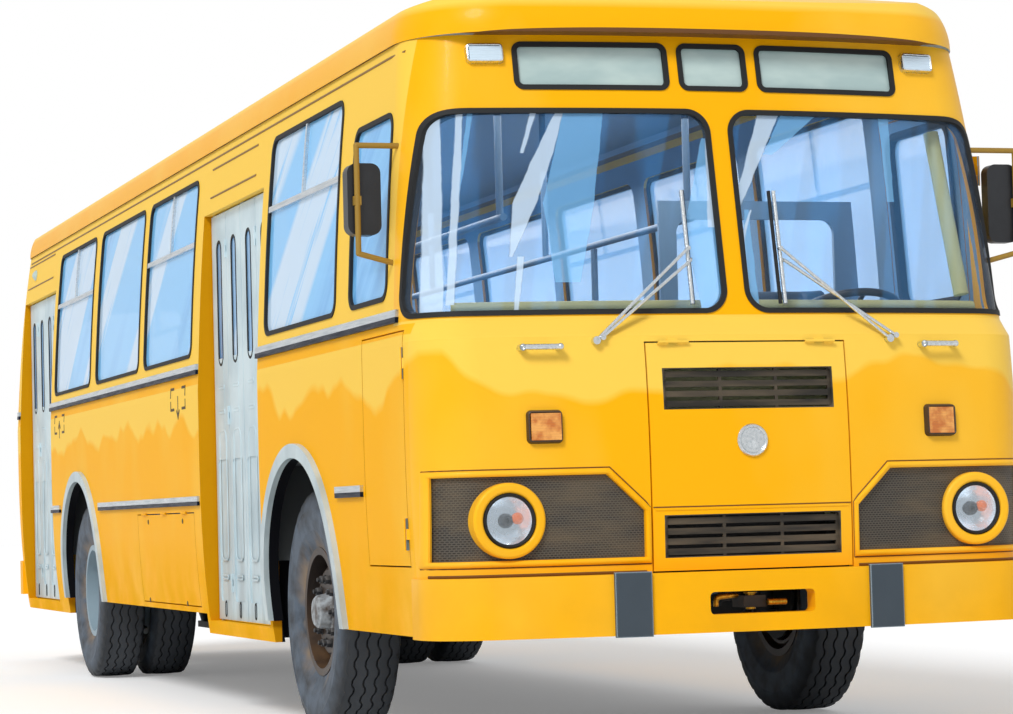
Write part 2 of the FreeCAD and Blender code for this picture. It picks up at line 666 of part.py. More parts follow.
def make_bumpers():
    """Wrapped steel bumpers; the front one has a slot for the tow hook and joints behind its guards."""
    front_outer = Part.Face(plan(BUMPER_Z[0], SECTIONS_LOW[1][1] + 4, 0, LENGTH)).extrude(V(0, 0, BUMPER_Z[1] - BUMPER_Z[0]))
    inner = Part.Face(plan(BUMPER_Z[0] - 1, SECTIONS_LOW[1][1] + 4, 0, LENGTH, BUMPER_T)).extrude(
        V(0, 0, BUMPER_Z[1] - BUMPER_Z[0] + 2))
    ring = front_outer.cut(inner)
    front = ring.common(block(-OUT, OUT, -10, BUMPER_END_S, 0, 1000)).cut(
        form(0.0).common(block(-OUT, OUT, SEAM_S, IN, 0, 1000)))
    half, z0, z1 = BUMPER_SLOT
    joint = (GUARD_X[0] + GUARD_X[1]) / 2
    joints = both_sides(block(joint - FIT / 2, joint + FIT / 2, -50, 300, 0, 1000))
    front = front.cut([front_prism(-half, half, z0, z1, 18, -100, 500)] + joints)
    rear = ring.common(block(-OUT, OUT, REAR_SEAM_S, LENGTH + 10, 0, 1000))
    return front, rear


def make_guards():
    """Rubber guards that wrap the front bumper."""
    z0, z1 = BUMPER_Z[0] - 6, BUMPER_Z[1] + 8
    outline = plan(z0, SECTIONS_LOW[1][1] + 4 + GUARD_OUT, -GUARD_OUT, LENGTH + GUARD_OUT)
    pad = Part.Face(outline).extrude(V(0, 0, z1 - z0)).common(block(*GUARD_X, -100, 50, z0, z1))
    core = Part.Face(plan(z0 - 1, SECTIONS_LOW[1][1] + 4, 0, LENGTH)).extrude(V(0, 0, z1 - z0 + 2))
    return both_sides(pad.cut(core))


def leaf_width():
    return (DOOR_OPENING - 2 * JAMB_GAP - 2 * LEAF_GAP - LEAF_END) / 4


def door_leaves(s0):
    """Four leaves from the front jamb to the rear one, each with its hinges and a tall rounded slot."""
    width = leaf_width()
    z0, z1 = DOOR_Z[0] + 8, DOOR_Z[1] - 8
    x0, x1 = DOOR_FACE_X, DOOR_FACE_X + LEAF_T
    s1 = s0 + DOOR_OPENING
    starts = [s0 + JAMB_GAP, s0 + JAMB_GAP + width + LEAF_GAP]
    starts += [s1 - JAMB_GAP - 2 * width - LEAF_GAP, s1 - JAMB_GAP - width]
    leaves = []
    for a in starts:
        leaf = block(x0, x1, a, a + width, z0, z1)
        mid = a + width / 2
        slot = side_prism(mid - SLOT_W / 2, mid + SLOT_W / 2, *SLOT_Z, SLOT_W / 2 - 1, x0 - 10, x1 + 10)
        lower = side_prism(a + 45, a + width - 45, z0 + 90, SLOT_Z[0] - 110, 25, x0 - 5, x0 + 6)
        leaves.append(leaf.cut([slot, lower]))
    x = (x0 + x1) / 2
    for k, s in ((0, starts[0] + LEAF_PIVOT), (3, s1 - JAMB_GAP - LEAF_PIVOT)):
        pins = [rod(point(x, s, z1 - 30), point(x, s, DOOR_Z[1] + CASE_H / 2 - 3), PIVOT_R),
                rod(point(x, s, DOOR_Z[0] - CASE_H / 2 + 3), point(x, s, z0 + 30), PIVOT_R)]
        leaves[k] = leaves[k].fuse(pins)
    for k, s in ((1, starts[1] + width - LEAF_PIVOT), (2, starts[2] + LEAF_PIVOT)):
        roller = rod(point(x, s, z1 - 30), point(x, s, DOOR_Z[1] + CASE_H / 2 - 3), PIVOT_R - 1.5)
        leaves[k] = leaves[k].fuse(roller)
    knuckles = [(0, 1, starts[1] - LEAF_GAP / 2), (3, 2, starts[3] - LEAF_GAP / 2)]
    for fixed_leaf, moving_leaf, s in knuckles:
        towards = 1 if moving_leaf > fixed_leaf else -1
        for z in (z0 + 180, (z0 + z1) / 2, z1 - 180):
            a, b = point(x0 - KNUCKLE_OUT, s, z - 45), point(x0 - KNUCKLE_OUT, s, z + 45)
            f, m = hinge(a, b, V(KNUCKLE_OUT + 7, -towards * 9, 0), V(KNUCKLE_OUT + 7, towards * 9, 0), HINGE_R - 0.5)
            leaves[fixed_leaf] = leaves[fixed_leaf].fuse(f)
            leaves[moving_leaf] = leaves[moving_leaf].fuse(m)
    return leaves


def step_well(s0):
    """Plates of the two steps behind a doorway, open at the top and towards the door."""
    a, b = s0 - JAMB_T, s0 + DOOR_OPENING + JAMB_T
    z0 = DOOR_Z[0]
    rise = (FLOOR_Z + z0) / 2
    x1, x2, x3 = CASE_IN_X + FIT, STEP_TREAD_X, STEP_INNER_X
    end = x3 + FIT + PLATE
    return [block(x1, x2, a, b, z0 - PLATE, z0),
            block(x2 + FIT, x2 + FIT + PLATE, a, b, z0 - PLATE, rise - PLATE - FIT),
            block(x2, x3, a, b, rise - PLATE, rise),
            block(x3 + FIT, end, a, b, rise - PLATE, FLOOR_Z),
            block(x1, end, a - FIT - PLATE, a - FIT, z0 - PLATE, FLOOR_Z),
            block(x1, end, b + FIT, b + FIT + PLATE, z0 - PLATE, FLOOR_Z)]


def wheelbox(s):
    """Plates of the housing over a left wheel: top, inner side and two ends."""
    h, t, x = WHEELBOX_HALF, PLATE, WHEELBOX_X
    low, high = FLOOR_Z - 130, WHEELBOX_TOP - FIT
    return [block(x - t, OUT, s - h - t, s + h + t, WHEELBOX_TOP, WHEELBOX_TOP + t),
            block(x - t, x, s - h - t, s + h + t, low, high),
            block(x + FIT, OUT, s - h - t, s - h, low, high),
            block(x + FIT, OUT, s + h, s + h + t, low, high)]


ENGINE_BAY = (430.0, 330.0, 1500.0)
PROP_Z = (600.0, 540.0)
NOSE = 260.0
PROP_END = 0.9


def make_floor():
    """Boards round the engine bay, wheel boxes and step wells, with the plates of both."""
    half, bay_s, bay_end = ENGINE_BAY
    inner = WHEELBOX_X - PLATE
    box = WHEELBOX_HALF + PLATE + FIT
    well = JAMB_T + PLATE + 2 * FIT
    f0, f1, r0, r1 = [s + k * box for s in (FRONT_AXLE_S, REAR_AXLE_S) for k in (-1, 1)]
    d0, d1, e0, e1 = [s for door in DOORS.values() for s in (door - well, door + DOOR_OPENING + well)]
    boards = [(-inner + FIT, inner - FIT, f0 + FIT, LENGTH), (half, OUT, 250, f0), (-OUT, -half, 250, f0)]
    boards += [(inner, OUT, a, b) for a, b in ((f1, r0), (r1, LENGTH))]
    boards += [(-OUT, -inner, a, b) for a, b in ((f1, d0), (d1, r0), (r1, e0), (e1, LENGTH))]
    plates = [block(*board, FLOOR_Z - FLOOR_T, FLOOR_Z) for board in boards]
    for s in DOORS.values():
        plates += step_well(s)
    for s in (FRONT_AXLE_S, REAR_AXLE_S):
        for plate in wheelbox(s):
            plates += both_sides(plate)
    return [plate.common(form(WALL + FIT)) for plate in plates]


def make_bulkhead():
    """Plates between the engine bay and the cab."""
    half, s0, s1 = ENGINE_BAY
    plates = both_sides(block(half, 1100, s0, s0 + PLATE, FLOOR_Z + FIT, DASH_Z[0]))
    plates.append(block(-half + FIT, half - FIT, s0, s0 + PLATE, 1240, DASH_Z[0]))
    return [plate.common(form(WALL + FIT)) for plate in plates]


def make_engine_cover():
    """Sheet housing over the engine, beside the driver's seat."""
    half, s0, s1 = ENGINE_BAY
    z1 = 1300.0
    outer = block(-half - 20, half + 20, s0 + PLATE, s1 + 20, FLOOR_Z, z1)
    rim = [e for e in outer.Edges if e.BoundBox.ZMin > z1 - 1]
    return outer.makeFillet(60, rim).cut(block(-half, half, s0 - 100, s1, FLOOR_Z - 1, z1 - 20))


def make_drivetrain():
    """Engine block with its gearbox, the radiator in front and the shaft to the rear axle."""
    motor = block(-300, 300, 560, 1400, 600, 1180)
    gearbox = block(-190, 190, 1400 + FIT, GEARBOX_END_S, 560, 835)
    radiator = block(-370, 370, CROSS_S[1], CROSS_S[1] + CROSS_W, RAIL_Z[1] - CROSS_IN, 1230)
    feet = both_sides(block(300 + FIT, RAIL_X[0], 700, 780, 640, 700))
    shaft = rod(point(0, GEARBOX_END_S + PROP_END, PROP_Z[0]), point(0, REAR_AXLE_S - NOSE - PROP_END, PROP_Z[1]), 48)
    return [motor, gearbox, radiator, shaft] + feet


def channel(side):
    """Open C-section frame rail."""
    x0, x1 = RAIL_X
    z0, z1 = RAIL_Z
    rail = block(x0, x1, FRAME_S[0], FRAME_S[1], z0, z1)
    rail = rail.cut(block(x0 - 1, x1 - RAIL_T, 0, LENGTH, z0 + RAIL_T, z1 - RAIL_T))
    return rail if side > 0 else mirrored(rail)


FRAME_S = (140.0, 10290.0)
CROSS_S = [140.0, 250.0, 2250.0, 3300.0, 4400.0, 5500.0, 6600.0, 7350.0, 8250.0, 9300.0, 10230.0]
CROSS_W = 60.0
CROSS_IN = 30.0
GEARBOX_END_S = 2000.0
TOW_PIN_R = 20.0
TOW_Z = 566.0
OUTRIGGER_X = 1160.0


def make_chassis():
    """Ladder frame: rails, cross members, outriggers, floor pads, bumper brackets and a tow eye at each end."""
    x0, x1 = RAIL_X
    z0, z1 = RAIL_Z
    under_floor = FLOOR_Z - FLOOR_T
    parts = [channel(1), channel(-1)]
    web = x1 - RAIL_T - FIT
    for s in CROSS_S:
        parts.append(block(-web, web, s, s + CROSS_W, z0 + CROSS_IN, z1 - CROSS_IN))
    for s in CROSS_S[3:7] + CROSS_S[9:10]:
        parts.append(block(x1 + FIT, OUTRIGGER_X, s, s + CROSS_W, z1 - 60, under_floor))
    for s in CROSS_S[4:7]:
        parts.append(block(-OUTRIGGER_X, -x1 - FIT, s, s + CROSS_W, z1 - 60, under_floor))
    for s in (CROSS_S[1], CROSS_S[2], CROSS_S[7], CROSS_S[8], CROSS_S[10]):
        parts += both_sides(block(x0, x1, s, s + CROSS_W, z1 + FIT, under_floor))
    front, rear = BUMPER_T + bow(x1) + FIT, LENGTH - BUMPER_T - bow(x1) - FIT
    for a, b in ((front, FRAME_S[0] + 120), (FRAME_S[1] - 120, rear)):
        parts += both_sides(block(x0, x1, a, b, z0 - 90, z0 - FIT))
    for a, b, eye_s, post_s in ((BUMPER_T + 10, CROSS_S[0] + CROSS_W, BUMPER_T + 55, CROSS_S[0] + 20),
                                (CROSS_S[-1], LENGTH - BUMPER_T - 10, LENGTH - BUMPER_T - 55, CROSS_S[-1])):
        eye = block(-45, 45, a, b, TOW_Z - 22, TOW_Z + 22)
        parts += [eye.cut(rod(point(0, eye_s, TOW_Z - 60), point(0, eye_s, TOW_Z + 60), TOW_PIN_R)),
                  block(-45, 45, post_s, post_s + 40, TOW_Z + 22 + FIT, z0 + CROSS_IN - FIT)]
    return parts


def revolved(points, centre):
    """Solid of revolution about the wheel's axis; points are (along the axis, radius)."""
    wire = Part.makePolygon([V(x, 0, r) for x, r in points + [points[0]]])
    solid = Part.Face(wire).revolve(V(0, 0, 0), V(1, 0, 0), 360)
    solid.translate(centre)
    return solid


def tyre(centre):
    w, r0, r1 = TYRE_W / 2, RIM_R + FIT, TYRE_R
    bead = RIM_W / 2 - RIM_FLANGE[0] - FIT
    side = [V(-bead, 0, r0 + RIM_FLANGE[1]), V(-w, 0, (r0 + r1) / 2), V(-w + 20, 0, r1 - 22)]
    other = [V(-p.x, 0, p.z) for p in side]
    e = [Part.Arc(*side).toShape(), Part.makeLine(side[2], V(-w + 44, 0, r1)),
         Part.makeLine(V(-w + 44, 0, r1), V(w - 44, 0, r1)), Part.makeLine(V(w - 44, 0, r1), other[2]),
         Part.Arc(*reversed(other)).toShape(), Part.makeLine(other[0], V(bead, 0, r0)),
         Part.makeLine(V(bead, 0, r0), V(-bead, 0, r0)), Part.makeLine(V(-bead, 0, r0), side[0])]
    solid = Part.Face(Part.Wire(e)).revolve(V(0, 0, 0), V(1, 0, 0), 360)
    solid.translate(centre)
    return solid


def rim(centre):
    h, r = RIM_W / 2, RIM_R
    width, rise = RIM_FLANGE
    return revolved([(-h, r - 12), (-h, r + rise), (-h + width, r + rise), (-h + width, r), (h - width, r),
                     (h - width, r + rise), (h, r + rise), (h, r - 12)], centre)


def wheel_disc(centre, hub_r, hub_x, rim_x, facing):
    """Dished disc from the hub's flange to the rim, with hand holes; facing is the outboard direction."""
    f = facing
    t = 12 * f
    edge = RIM_R - 12 - FIT
    disc = revolved([(hub_x * f, hub_r), (hub_x * f, 178), (rim_x * f, edge), (rim_x * f - t, edge),
                     (hub_x * f - t, 172), (hub_x * f - t, hub_r)], centre)
    holes = []
    for k in range(8):
        angle = math.radians(45 * k)
        offset = V(0, 212 * math.cos(angle), 212 * math.sin(angle))
        holes.append(rod(centre + offset - V(90, 0, 0), centre + offset + V(90, 0, 0), 24))
    return disc.cut(holes)


def front_wheel(side):
    """Rim, disc, brake drum and hub that turn on the spindle."""
    centre = V(side * FRONT_TRACK / 2, y(FRONT_AXLE_S), TYRE_R)
    bore = SPINDLE_R + BEARING_GAP
    hub = revolved([(-60 * side, bore), (-60 * side, 110), (60 * side, 92), (66 * side, 78), (112 * side, 70),
                    (124 * side, 58), (124 * side, 0.0), (106 * side, 0.0), (106 * side, bore)], centre)
    drum = revolved([(x * side, r) for x, r in ((-78, 206), (-78, 220), (8, 220), (49.7, 160), (49.7, 95.3),
                                                (41.7, 95.3), (41.7, 158), (4, 206))], centre)
    return [rim(centre), wheel_disc(centre, 94.5, 62, 10, side), hub, drum]


def rear_wheel(side):
    """Twin rims whose discs meet on the hub."""
    middle = V(side * REAR_TRACK / 2, y(REAR_AXLE_S), TYRE_R)
    pieces = []
    for k, (hub_x, rim_x) in ((1, (-143 + 12.3, -70)), (-1, (167, 70))):
        centre = middle + V(side * k * TWIN_PITCH / 2, 0, 0)
        pieces += [rim(centre), wheel_disc(centre, 120.5, hub_x, rim_x, side)]
    bore = SPINDLE_R + 18 + BEARING_GAP
    hub = revolved([(-150 * side, bore), (-150 * side, 120), (20 * side, 120), (34 * side, 104), (96 * side, 96),
                    (150 * side, 80), (150 * side, 0.0), (110 * side, 0.0), (110 * side, bore)], middle)
    drum = revolved([(x * side, r) for x, r in ((-200, 206), (-200, 220), (-72, 220), (-0.3, 163), (-0.3, 120.5),
                                                (-8.3, 120.5), (-8.3, 160), (-76, 206))], middle)
    return pieces + [hub, drum]


STEER_ARM = 210.0
TIE_PIN_R = 12.0
TIE_Z = TYRE_R - 128.0
KNUCKLE_HALF = 112.0


def make_tie_rod():
    """Rod behind the front axle that joins the steering arms, with a pin up through each."""
    s = FRONT_AXLE_S + STEER_ARM
    bar = rod(point(-KINGPIN_X, s, TIE_Z), point(KINGPIN_X, s, TIE_Z), 15)
    pins = [rod(point(x, s, TIE_Z), point(x, s, TYRE_R - KNUCKLE_HALF + 34), TIE_PIN_R) for x in (-KINGPIN_X, KINGPIN_X)]
    return bar.fuse(pins)


def knuckle(side):
    """Kingpin boss, spindle, back plate and steering arm."""
    z = TYRE_R
    s = FRONT_AXLE_S
    hub_x = FRONT_TRACK / 2 - 60
    boss_top = rod(point(side * KINGPIN_X, s, z + 62), point(side * KINGPIN_X, s, z + 112), 52)
    boss_low = rod(point(side * KINGPIN_X, s, z - 112), point(side * KINGPIN_X, s, z - 62), 52)
    web = block(KINGPIN_X + 56, KINGPIN_X + 72, s - 46, s + 46, z - KNUCKLE_HALF, z + KNUCKLE_HALF)
    web = web.fuse([block(KINGPIN_X, KINGPIN_X + 60, s - 46, s + 46, z + a, z + b)
                    for a, b in ((62, KNUCKLE_HALF), (-KNUCKLE_HALF, -62))])
    plate = rod(point(KINGPIN_X + 56, s, z), point(KINGPIN_X + 68, s, z), 196)
    arm = block(KINGPIN_X - 24, KINGPIN_X + 24, s + 30, s + STEER_ARM + 24, z - KNUCKLE_HALF, z - KNUCKLE_HALF + 30)
    arm = arm.cut(rod(point(KINGPIN_X, s + STEER_ARM, 0), point(KINGPIN_X, s + STEER_ARM, z),
                      TIE_PIN_R + (BEARING_GAP if side > 0 else 1.0)))
    spindle = rod(point(KINGPIN_X + 60, s, z), point(hub_x + 156, s, z), SPINDLE_R)
    shapes = [web, plate, arm, spindle]
    if side < 0:
        shapes = [mirrored(one) for one in shapes]
    pin_hole = rod(point(side * KINGPIN_X, s, z - 120), point(side * KINGPIN_X, s, z + 120), KINGPIN_R + BEARING_GAP)
    return boss_top.fuse([boss_low] + shapes).cut(pin_hole)


def leaf_spring(x, s, z, half):
    """Slightly arched pack of leaves clamped over an axle."""
    leaves = []
    for k in range(3):
        reach = half * (1 - 0.22 * k)
        a, m, b = point(x - 40, s - reach, z + 46 * (reach / half) ** 2), point(x - 40, s, z), None
        b = point(x - 40, s + reach, a.z)
        drop = V(0, 0, -14.0 * k)
        low = V(0, 0, -14.0)
        top = Part.Arc(a + drop, m + drop, b + drop).toShape()
        bottom = Part.Arc(b + drop + low, m + drop + low, a + drop + low).toShape()
        ends = [Part.makeLine(b + drop, b + drop + low), Part.makeLine(a + drop + low, a + drop)]
        leaves.append(Part.Face(Part.Wire([top, ends[0], bottom, ends[1]])).extrude(V(80, 0, 0)))
    return leaves[0].fuse(leaves[1:])


def spring_hangers(x, s, z, half):
    """Brackets on the rail's outer face that hold the spring's two ends."""
    return [block(RAIL_X[1], x + 40, s + k * half - 30, s + k * half + 30, z + 30, RAIL_Z[1] - 40) for k in (-1, 1)]


SPRING_X = 520.0
SPRING_STACK = 42.0
AXLE_Z = 430.0
AXLE_TUBE_R = 84.0
BELLOWS_X = 380.0
BELLOWS_R = 88.0
BELLOWS_Z = 300.0


def make_front_axle():
    """Dropped beam, kingpins, springs and their hangers."""
    s, z = FRONT_AXLE_S, TYRE_R
    beam = block(-640, 640, s - 45, s + 45, AXLE_Z - 60, AXLE_Z + 40)
    parts = [beam]
    ends = [point(x, s - 40, h) for x, h in ((620, AXLE_Z - 55), (620, AXLE_Z + 38), (KINGPIN_X - 30, z + 55),
                                             (KINGPIN_X - 30, z - 55), (KINGPIN_X - 100, z - 55))]
    parts += both_sides(polygon_prism(ends, V(0, 80, 0)))
    eye = rod(point(KINGPIN_X, s, z - 61), point(KINGPIN_X, s, z + 61), 50)
    pin = rod(point(KINGPIN_X, s, z - 112), point(KINGPIN_X, s, z + 112), KINGPIN_R)
    parts += both_sides(eye.fuse(pin))
    spring_z = AXLE_Z + 50 + SPRING_STACK
    spring = leaf_spring(SPRING_X, s, spring_z, 620)
    seat = block(SPRING_X - 40, SPRING_X + 40, s - 70, s + 70, AXLE_Z + 40 + FIT, spring_z - 30)
    springs = both_sides(spring.fuse([seat] + spring_hangers(SPRING_X, s, spring_z, 600)))
    return [parts[0].fuse(parts[1:])] + springs


def make_rear_axle():
    """Banjo housing with its final drive, springs and their hangers."""
    s, z = REAR_AXLE_S, TYRE_R
    end_x = REAR_TRACK / 2 + 108
    half = [(0, 192), (70, 180), (150, 120), (230, AXLE_TUBE_R), (REAR_PLATE_X, AXLE_TUBE_R), (REAR_PLATE_X, 196),
            (REAR_PLATE_X + 12, 196), (REAR_PLATE_X + 12, SPINDLE_R + 18), (end_x, SPINDLE_R + 18), (end_x, 0)]
    housing = revolved([(-x, r) for x, r in reversed(half)] + half[1:], V(0, y(s), z))
    nose = rod(point(0, s - NOSE, PROP_Z[1]), point(0, s - 100, PROP_Z[1]), 80)
    tube = rod(point(-end_x, s, z), point(end_x, s, z), AXLE_TUBE_R + FIT)
    spring_z = z + AXLE_TUBE_R + 6 + SPRING_STACK
    spring = leaf_spring(SPRING_X, s, spring_z, 640)
    seat = block(SPRING_X - 40, SPRING_X + 40, s - 80, s + 80, z - 20, spring_z - 30)
    spring = spring.fuse([seat] + spring_hangers(SPRING_X, s, spring_z, 600)).cut(tube)
    beam = block(BELLOWS_X - 60, BELLOWS_X + 60, s - 450, s + 450, BELLOWS_Z - 38, BELLOWS_Z)
    post = block(BELLOWS_X - 60, BELLOWS_X + 60, s - 70, s + 70, BELLOWS_Z - 10, z - 40)
    return [housing.fuse(nose)] + both_sides(spring) + both_sides(beam.fuse(post).cut(tube))


def make_underbody():
    """Fuel tank on the left rail, air tanks on the right one and the exhaust silencer with its pipe."""
    rail, under = RAIL_X[1] + FIT, RAIL_Z[0] + CROSS_IN - FIT
    tank = side_prism(4480, 5420, 470, 770, 60, 560, 1080)
    straps = [block(rail, 560 - FIT, s, s + 60, 670, 730) for s in (4600, 5240)]
    air = [rod(point(-620, s, 640), point(-620, s + 850, 640), 125) for s in (4520, 5620)]
    brackets = [block(-498.3, -rail, s, s + 50, 670, 720) for s in (4620, 5220, 5720, 6320)]
    silencer = rod(point(-230, 2700, 480), point(-230, 3600, 480), 120)
    pipe = rod(point(-230, 3600 + FIT, 480), point(-230, 6500, 480), 34)
    hangers = [block(-245, -215, s, s + 40, 480 + r + FIT, under)
               for s, r in zip(CROSS_S[3:6], (120, 34, 34))]
    return [tank, silencer, pipe] + straps + air + brackets + hangers


SEAT_W = 760.0
SEAT_IN_X = 390.0
SEAT_Z = 430.0
CUSHION_H = 85.0
SEAT_TUBE_R = 15.0
SEATS_LEFT = [3050.0, 3850.0, 4650.0, 5450.0, 6250.0, 8620.0, 9420.0]
SEATS_RIGHT = [4560.0, 5360.0, 6160.0]


def seat(s, side):
    """A bench for two: padded cushion and back on a bent tube frame with two legs."""
    x0, x1 = SEAT_IN_X, SEAT_IN_X + SEAT_W
    z = FLOOR_Z + SEAT_Z
    cushion = side_prism(s, s + 420, z - CUSHION_H, z, 30, x0, x1)
    back = side_prism(s + 432, s + 500, z + 20, z + 520, 30, x0, x1)
    back.rotate(point(0, s + 432, z), V(1, 0, 0), -6)
    rail_z = z - CUSHION_H - SEAT_TUBE_R - FIT
    columns = (x0 + 90, x1 - 90)
    legs = [rod(point(x, s + q, FLOOR_Z), point(x, s + q, rail_z), SEAT_TUBE_R) for x in columns for q in (90, 360)]
    rails = [rod(point(x, s + 30, rail_z), point(x, s + 470, rail_z), SEAT_TUBE_R) for x in columns]
    posts = [rod(point(x, s + 466, rail_z), point(x, s + 466, z + 40), SEAT_TUBE_R - 2) for x in columns]
    frame = legs[0].fuse(legs[1:] + rails)
    shapes = [cushion, back, frame.fuse(posts).cut(back)]
    return shapes if side > 0 else [mirrored(one) for one in shapes]


def make_seats():
    pads, frames = [], []
    for places, side in ((SEATS_LEFT, 1), (SEATS_RIGHT, -1)):
        for s in places:
            cushion, back, frame = seat(s, side)
            pads += [cushion, back]
            frames.append(frame)
    return pads, frames


DRIVER_X = 760.0
WHEEL_TILT = 22.0


def make_driver_seat():
    s, z = 1040.0, FLOOR_Z + 420
    cushion = side_prism(s, s + 430, z - 100, z, 35, DRIVER_X - 240, DRIVER_X + 240)
    back = side_prism(s + 432, s + 510, z - 20, z + 600, 35, DRIVER_X - 230, DRIVER_X + 230)
    back.rotate(point(0, s + 432, z), V(1, 0, 0), -8)
    base = block(DRIVER_X - 180, DRIVER_X + 180, s + 60, s + 380, FLOOR_Z, z - 100)
    plate = block(DRIVER_X - 170, DRIVER_X + 170, s + 370, s + 466, z - 160, z - 120)
    posts = [rod(point(x, s + 450, z - 130), point(x, s + 480, z + 120), 12) for x in (DRIVER_X - 150, DRIVER_X + 150)]
    return [cushion, back], base.fuse([plate] + posts).cut([back, cushion])


DASH_Z = (1560.0, 1605.0)


def make_dashboard():
    """Instrument shelf that follows the front and a cowl before the driver."""
    inside = form(WALL + FIT)
    shelf = block(-OUT, OUT, 0, 480, *DASH_Z)
    cowl = side_prism(ENGINE_BAY[1] + PLATE, 600, 1340, 1690, 60, 480, 1060)
    return shelf.fuse(cowl).common(inside)


def make_steering_wheel():
    hub_z, hub_s = 1690.0, 870.0
    tilt = math.radians(WHEEL_TILT)
    axis = V(0, math.sin(tilt), math.cos(tilt))
    centre = point(DRIVER_X, hub_s, hub_z)
    ring = Part.makeTorus(225, 16, centre, axis)
    spokes = []
    across = V(1, 0, 0)
    for d in (across, across * -1, across.cross(axis)):
        spokes.append(rod(centre - axis * 30, centre + d * 222, 10))
    column = rod(centre - axis * 30, centre - axis * 920, 28)
    boss = rod(centre - axis * 70, centre + axis * 8, 52)
    return ring.fuse(spokes + [column, boss]).common(block(0, OUT, 0, LENGTH, FLOOR_Z, 3000))


def make_handrails():
    """Ceiling rails with drops, and posts by the doors and behind the driver, tube by tube."""
    r = 16.0
    z = 2180.0
    tubes = []
    for x in (-430.0, 430.0):
        reach = abs(x) + r
        drop = ROOF_CROWN_R - math.sqrt(ROOF_CROWN_R ** 2 - reach ** 2)
        top = ROOF_TOP_Z - ROOF_SKIN - drop - FIT
        tubes.append(rod(point(x, 1700, z), point(x, 9700, z), r))
        for s in (1750.0, 3700.0, 5700.0, 7700.0, 9300.0):
            tubes.append(rod(point(x, s, z + r + FIT), point(x, s, top), r))
    for x, s in ((-430.0, 4330.0), (-430.0, 8560.0), (430.0, 2980.0), (430.0, 7000.0)):
        tubes.append(rod(point(x, s, FLOOR_Z), point(x, s, z - r - FIT), r))
    return tubes


def make_partition():
    """Panel with a window behind the driver's seat."""
    panel = block(260, 1240, 1660, 1680, FLOOR_Z, 2250).common(form(WALL + FIT))
    return panel.cut(front_prism(340, 1080, 1500, 2170, 60, 1600, 1700)).cut(
        block(WHEELBOX_X - PLATE - 1, OUT, 1500, 1700, 0, WHEELBOX_TOP + PLATE))


def make_wipers():
    """Two pantograph wipers: a pair of thin arms and an upright blade on each pane."""
    wipers = []
    for pivot_x, blade_x in ((-597.0, -190.0), (597.0, 190.0)):
        z0, z1 = 1552.0, 1905.0
        s_low = surface_s(pivot_x, z0)
        s_blade = surface_s(blade_x, 1900) - 26
        low = point(pivot_x, s_low - 20, z0)
        high = point(blade_x, s_blade - 14, z1)
        arms = [rod(low, high, 6), rod(low + V(26, 0, 12), high + V(10, 0, -45), 6)]
        studs = [rod(low + V(0, 26, 0), low - V(0, 10, 0), 15),
                 rod(low + V(26, 26, 12), low + V(26, -8, 12), 11)]
        top_s, bottom_s = surface_s(blade_x, 2130) - 24, surface_s(blade_x, 1690) - 24
        blade = rod(point(blade_x, bottom_s, 1690), point(blade_x, top_s, 2130), 8)
        clip = rod(high, point(blade_x, s_blade + 4, z1), 9)
        clip2 = rod(high + V(10, 0, -45), point(blade_x, s_blade - 2, z1 - 45), 8)
        wiper = arms[0].fuse(arms[1:] + studs + [blade, clip, clip2])
        wipers.append(wiper.cut(form(0.0)))
    return wipers


def make_grab_handles():
    """Bent bars under the windscreen."""
    handles = []
    for side in (-1, 1):
        z = 1530.0
        x0, x1 = side * 740.0, side * 880.0
        s0, s1 = surface_s(x0, z), surface_s(x1, z)
        a, b = point(x0, s0 - 42, z), point(x1, s1 - 42, z)
        bar = rod(a, b, 11)
        feet = [rod(point(x0, s0 + 12, z), a, 13), rod(point(x1, s1 + 12, z), b, 13)]
        balls = [Part.makeSphere(13, a), Part.makeSphere(13, b)]
        handles.append(bar.fuse(feet + balls).cut(form(0.0)))
    return handles


def mirror(arm_s, head_x, head_s, head_z):
    """Left tube arm that hoops out from the front pillar, with a housing clamped behind it."""
    x, z0, z1, r = 1368.0, 1880.0, 2334.0, 11.0
    hoop = [point(surface_x(arm_s, z0) - 20, arm_s, z0), point(x, arm_s, z0 + 40), point(x, arm_s, z1),
            point(surface_x(arm_s, z1) - 20, arm_s, z1)]
    arm = rod(hoop[0], hoop[1], r).fuse([rod(hoop[1], hoop[2], r), rod(hoop[2], hoop[3], r),
                                         Part.makeSphere(r, hoop[1]), Part.makeSphere(r, hoop[2])])
    clamp = block(x - 14, x + 14, arm_s - 8, head_s[0] + 4, 2105, 2140)
    head = front_prism(*head_x, *head_z, 38, *head_s)
    return arm.cut(form(0.0)).fuse(clamp).cut(head), head


def make_mirrors():
    """The left mirror stays ahead of the driver's door; the right one stands a little further back."""
    left = mirror(500.0, (1250.0, 1382.0), (516.0, 570.0), (1962.0, 2280.0))
    right = mirror(596.0, (1270.0, 1402.0), (612.0, 680.0), (1993.0, 2268.0))
    return left, [mirrored(one) for one in right]


def make_bellows():
    """Air springs between axle and frame."""
    def bag(x, s, z0, z1):
        r = BELLOWS_R
        mid = (z0 + z1) / 2
        profile = [V(0, 0, z0), V(r - 26, 0, z0), V(r, 0, (z0 + mid) / 2), V(r - 30, 0, mid),
                   V(r, 0, (z1 + mid) / 2), V(r - 26, 0, z1), V(0, 0, z1)]
        solid = Part.Face(Part.makePolygon(profile + [profile[0]])).revolve(V(0, 0, 0), V(0, 0, 1), 360)
        solid.translate(V(x, y(s), 0))
        return solid
    return [bag(side * BELLOWS_X, REAR_AXLE_S + k * 330.0, BELLOWS_Z, RAIL_Z[0]) for side in (-1, 1) for k in (-1, 1)]


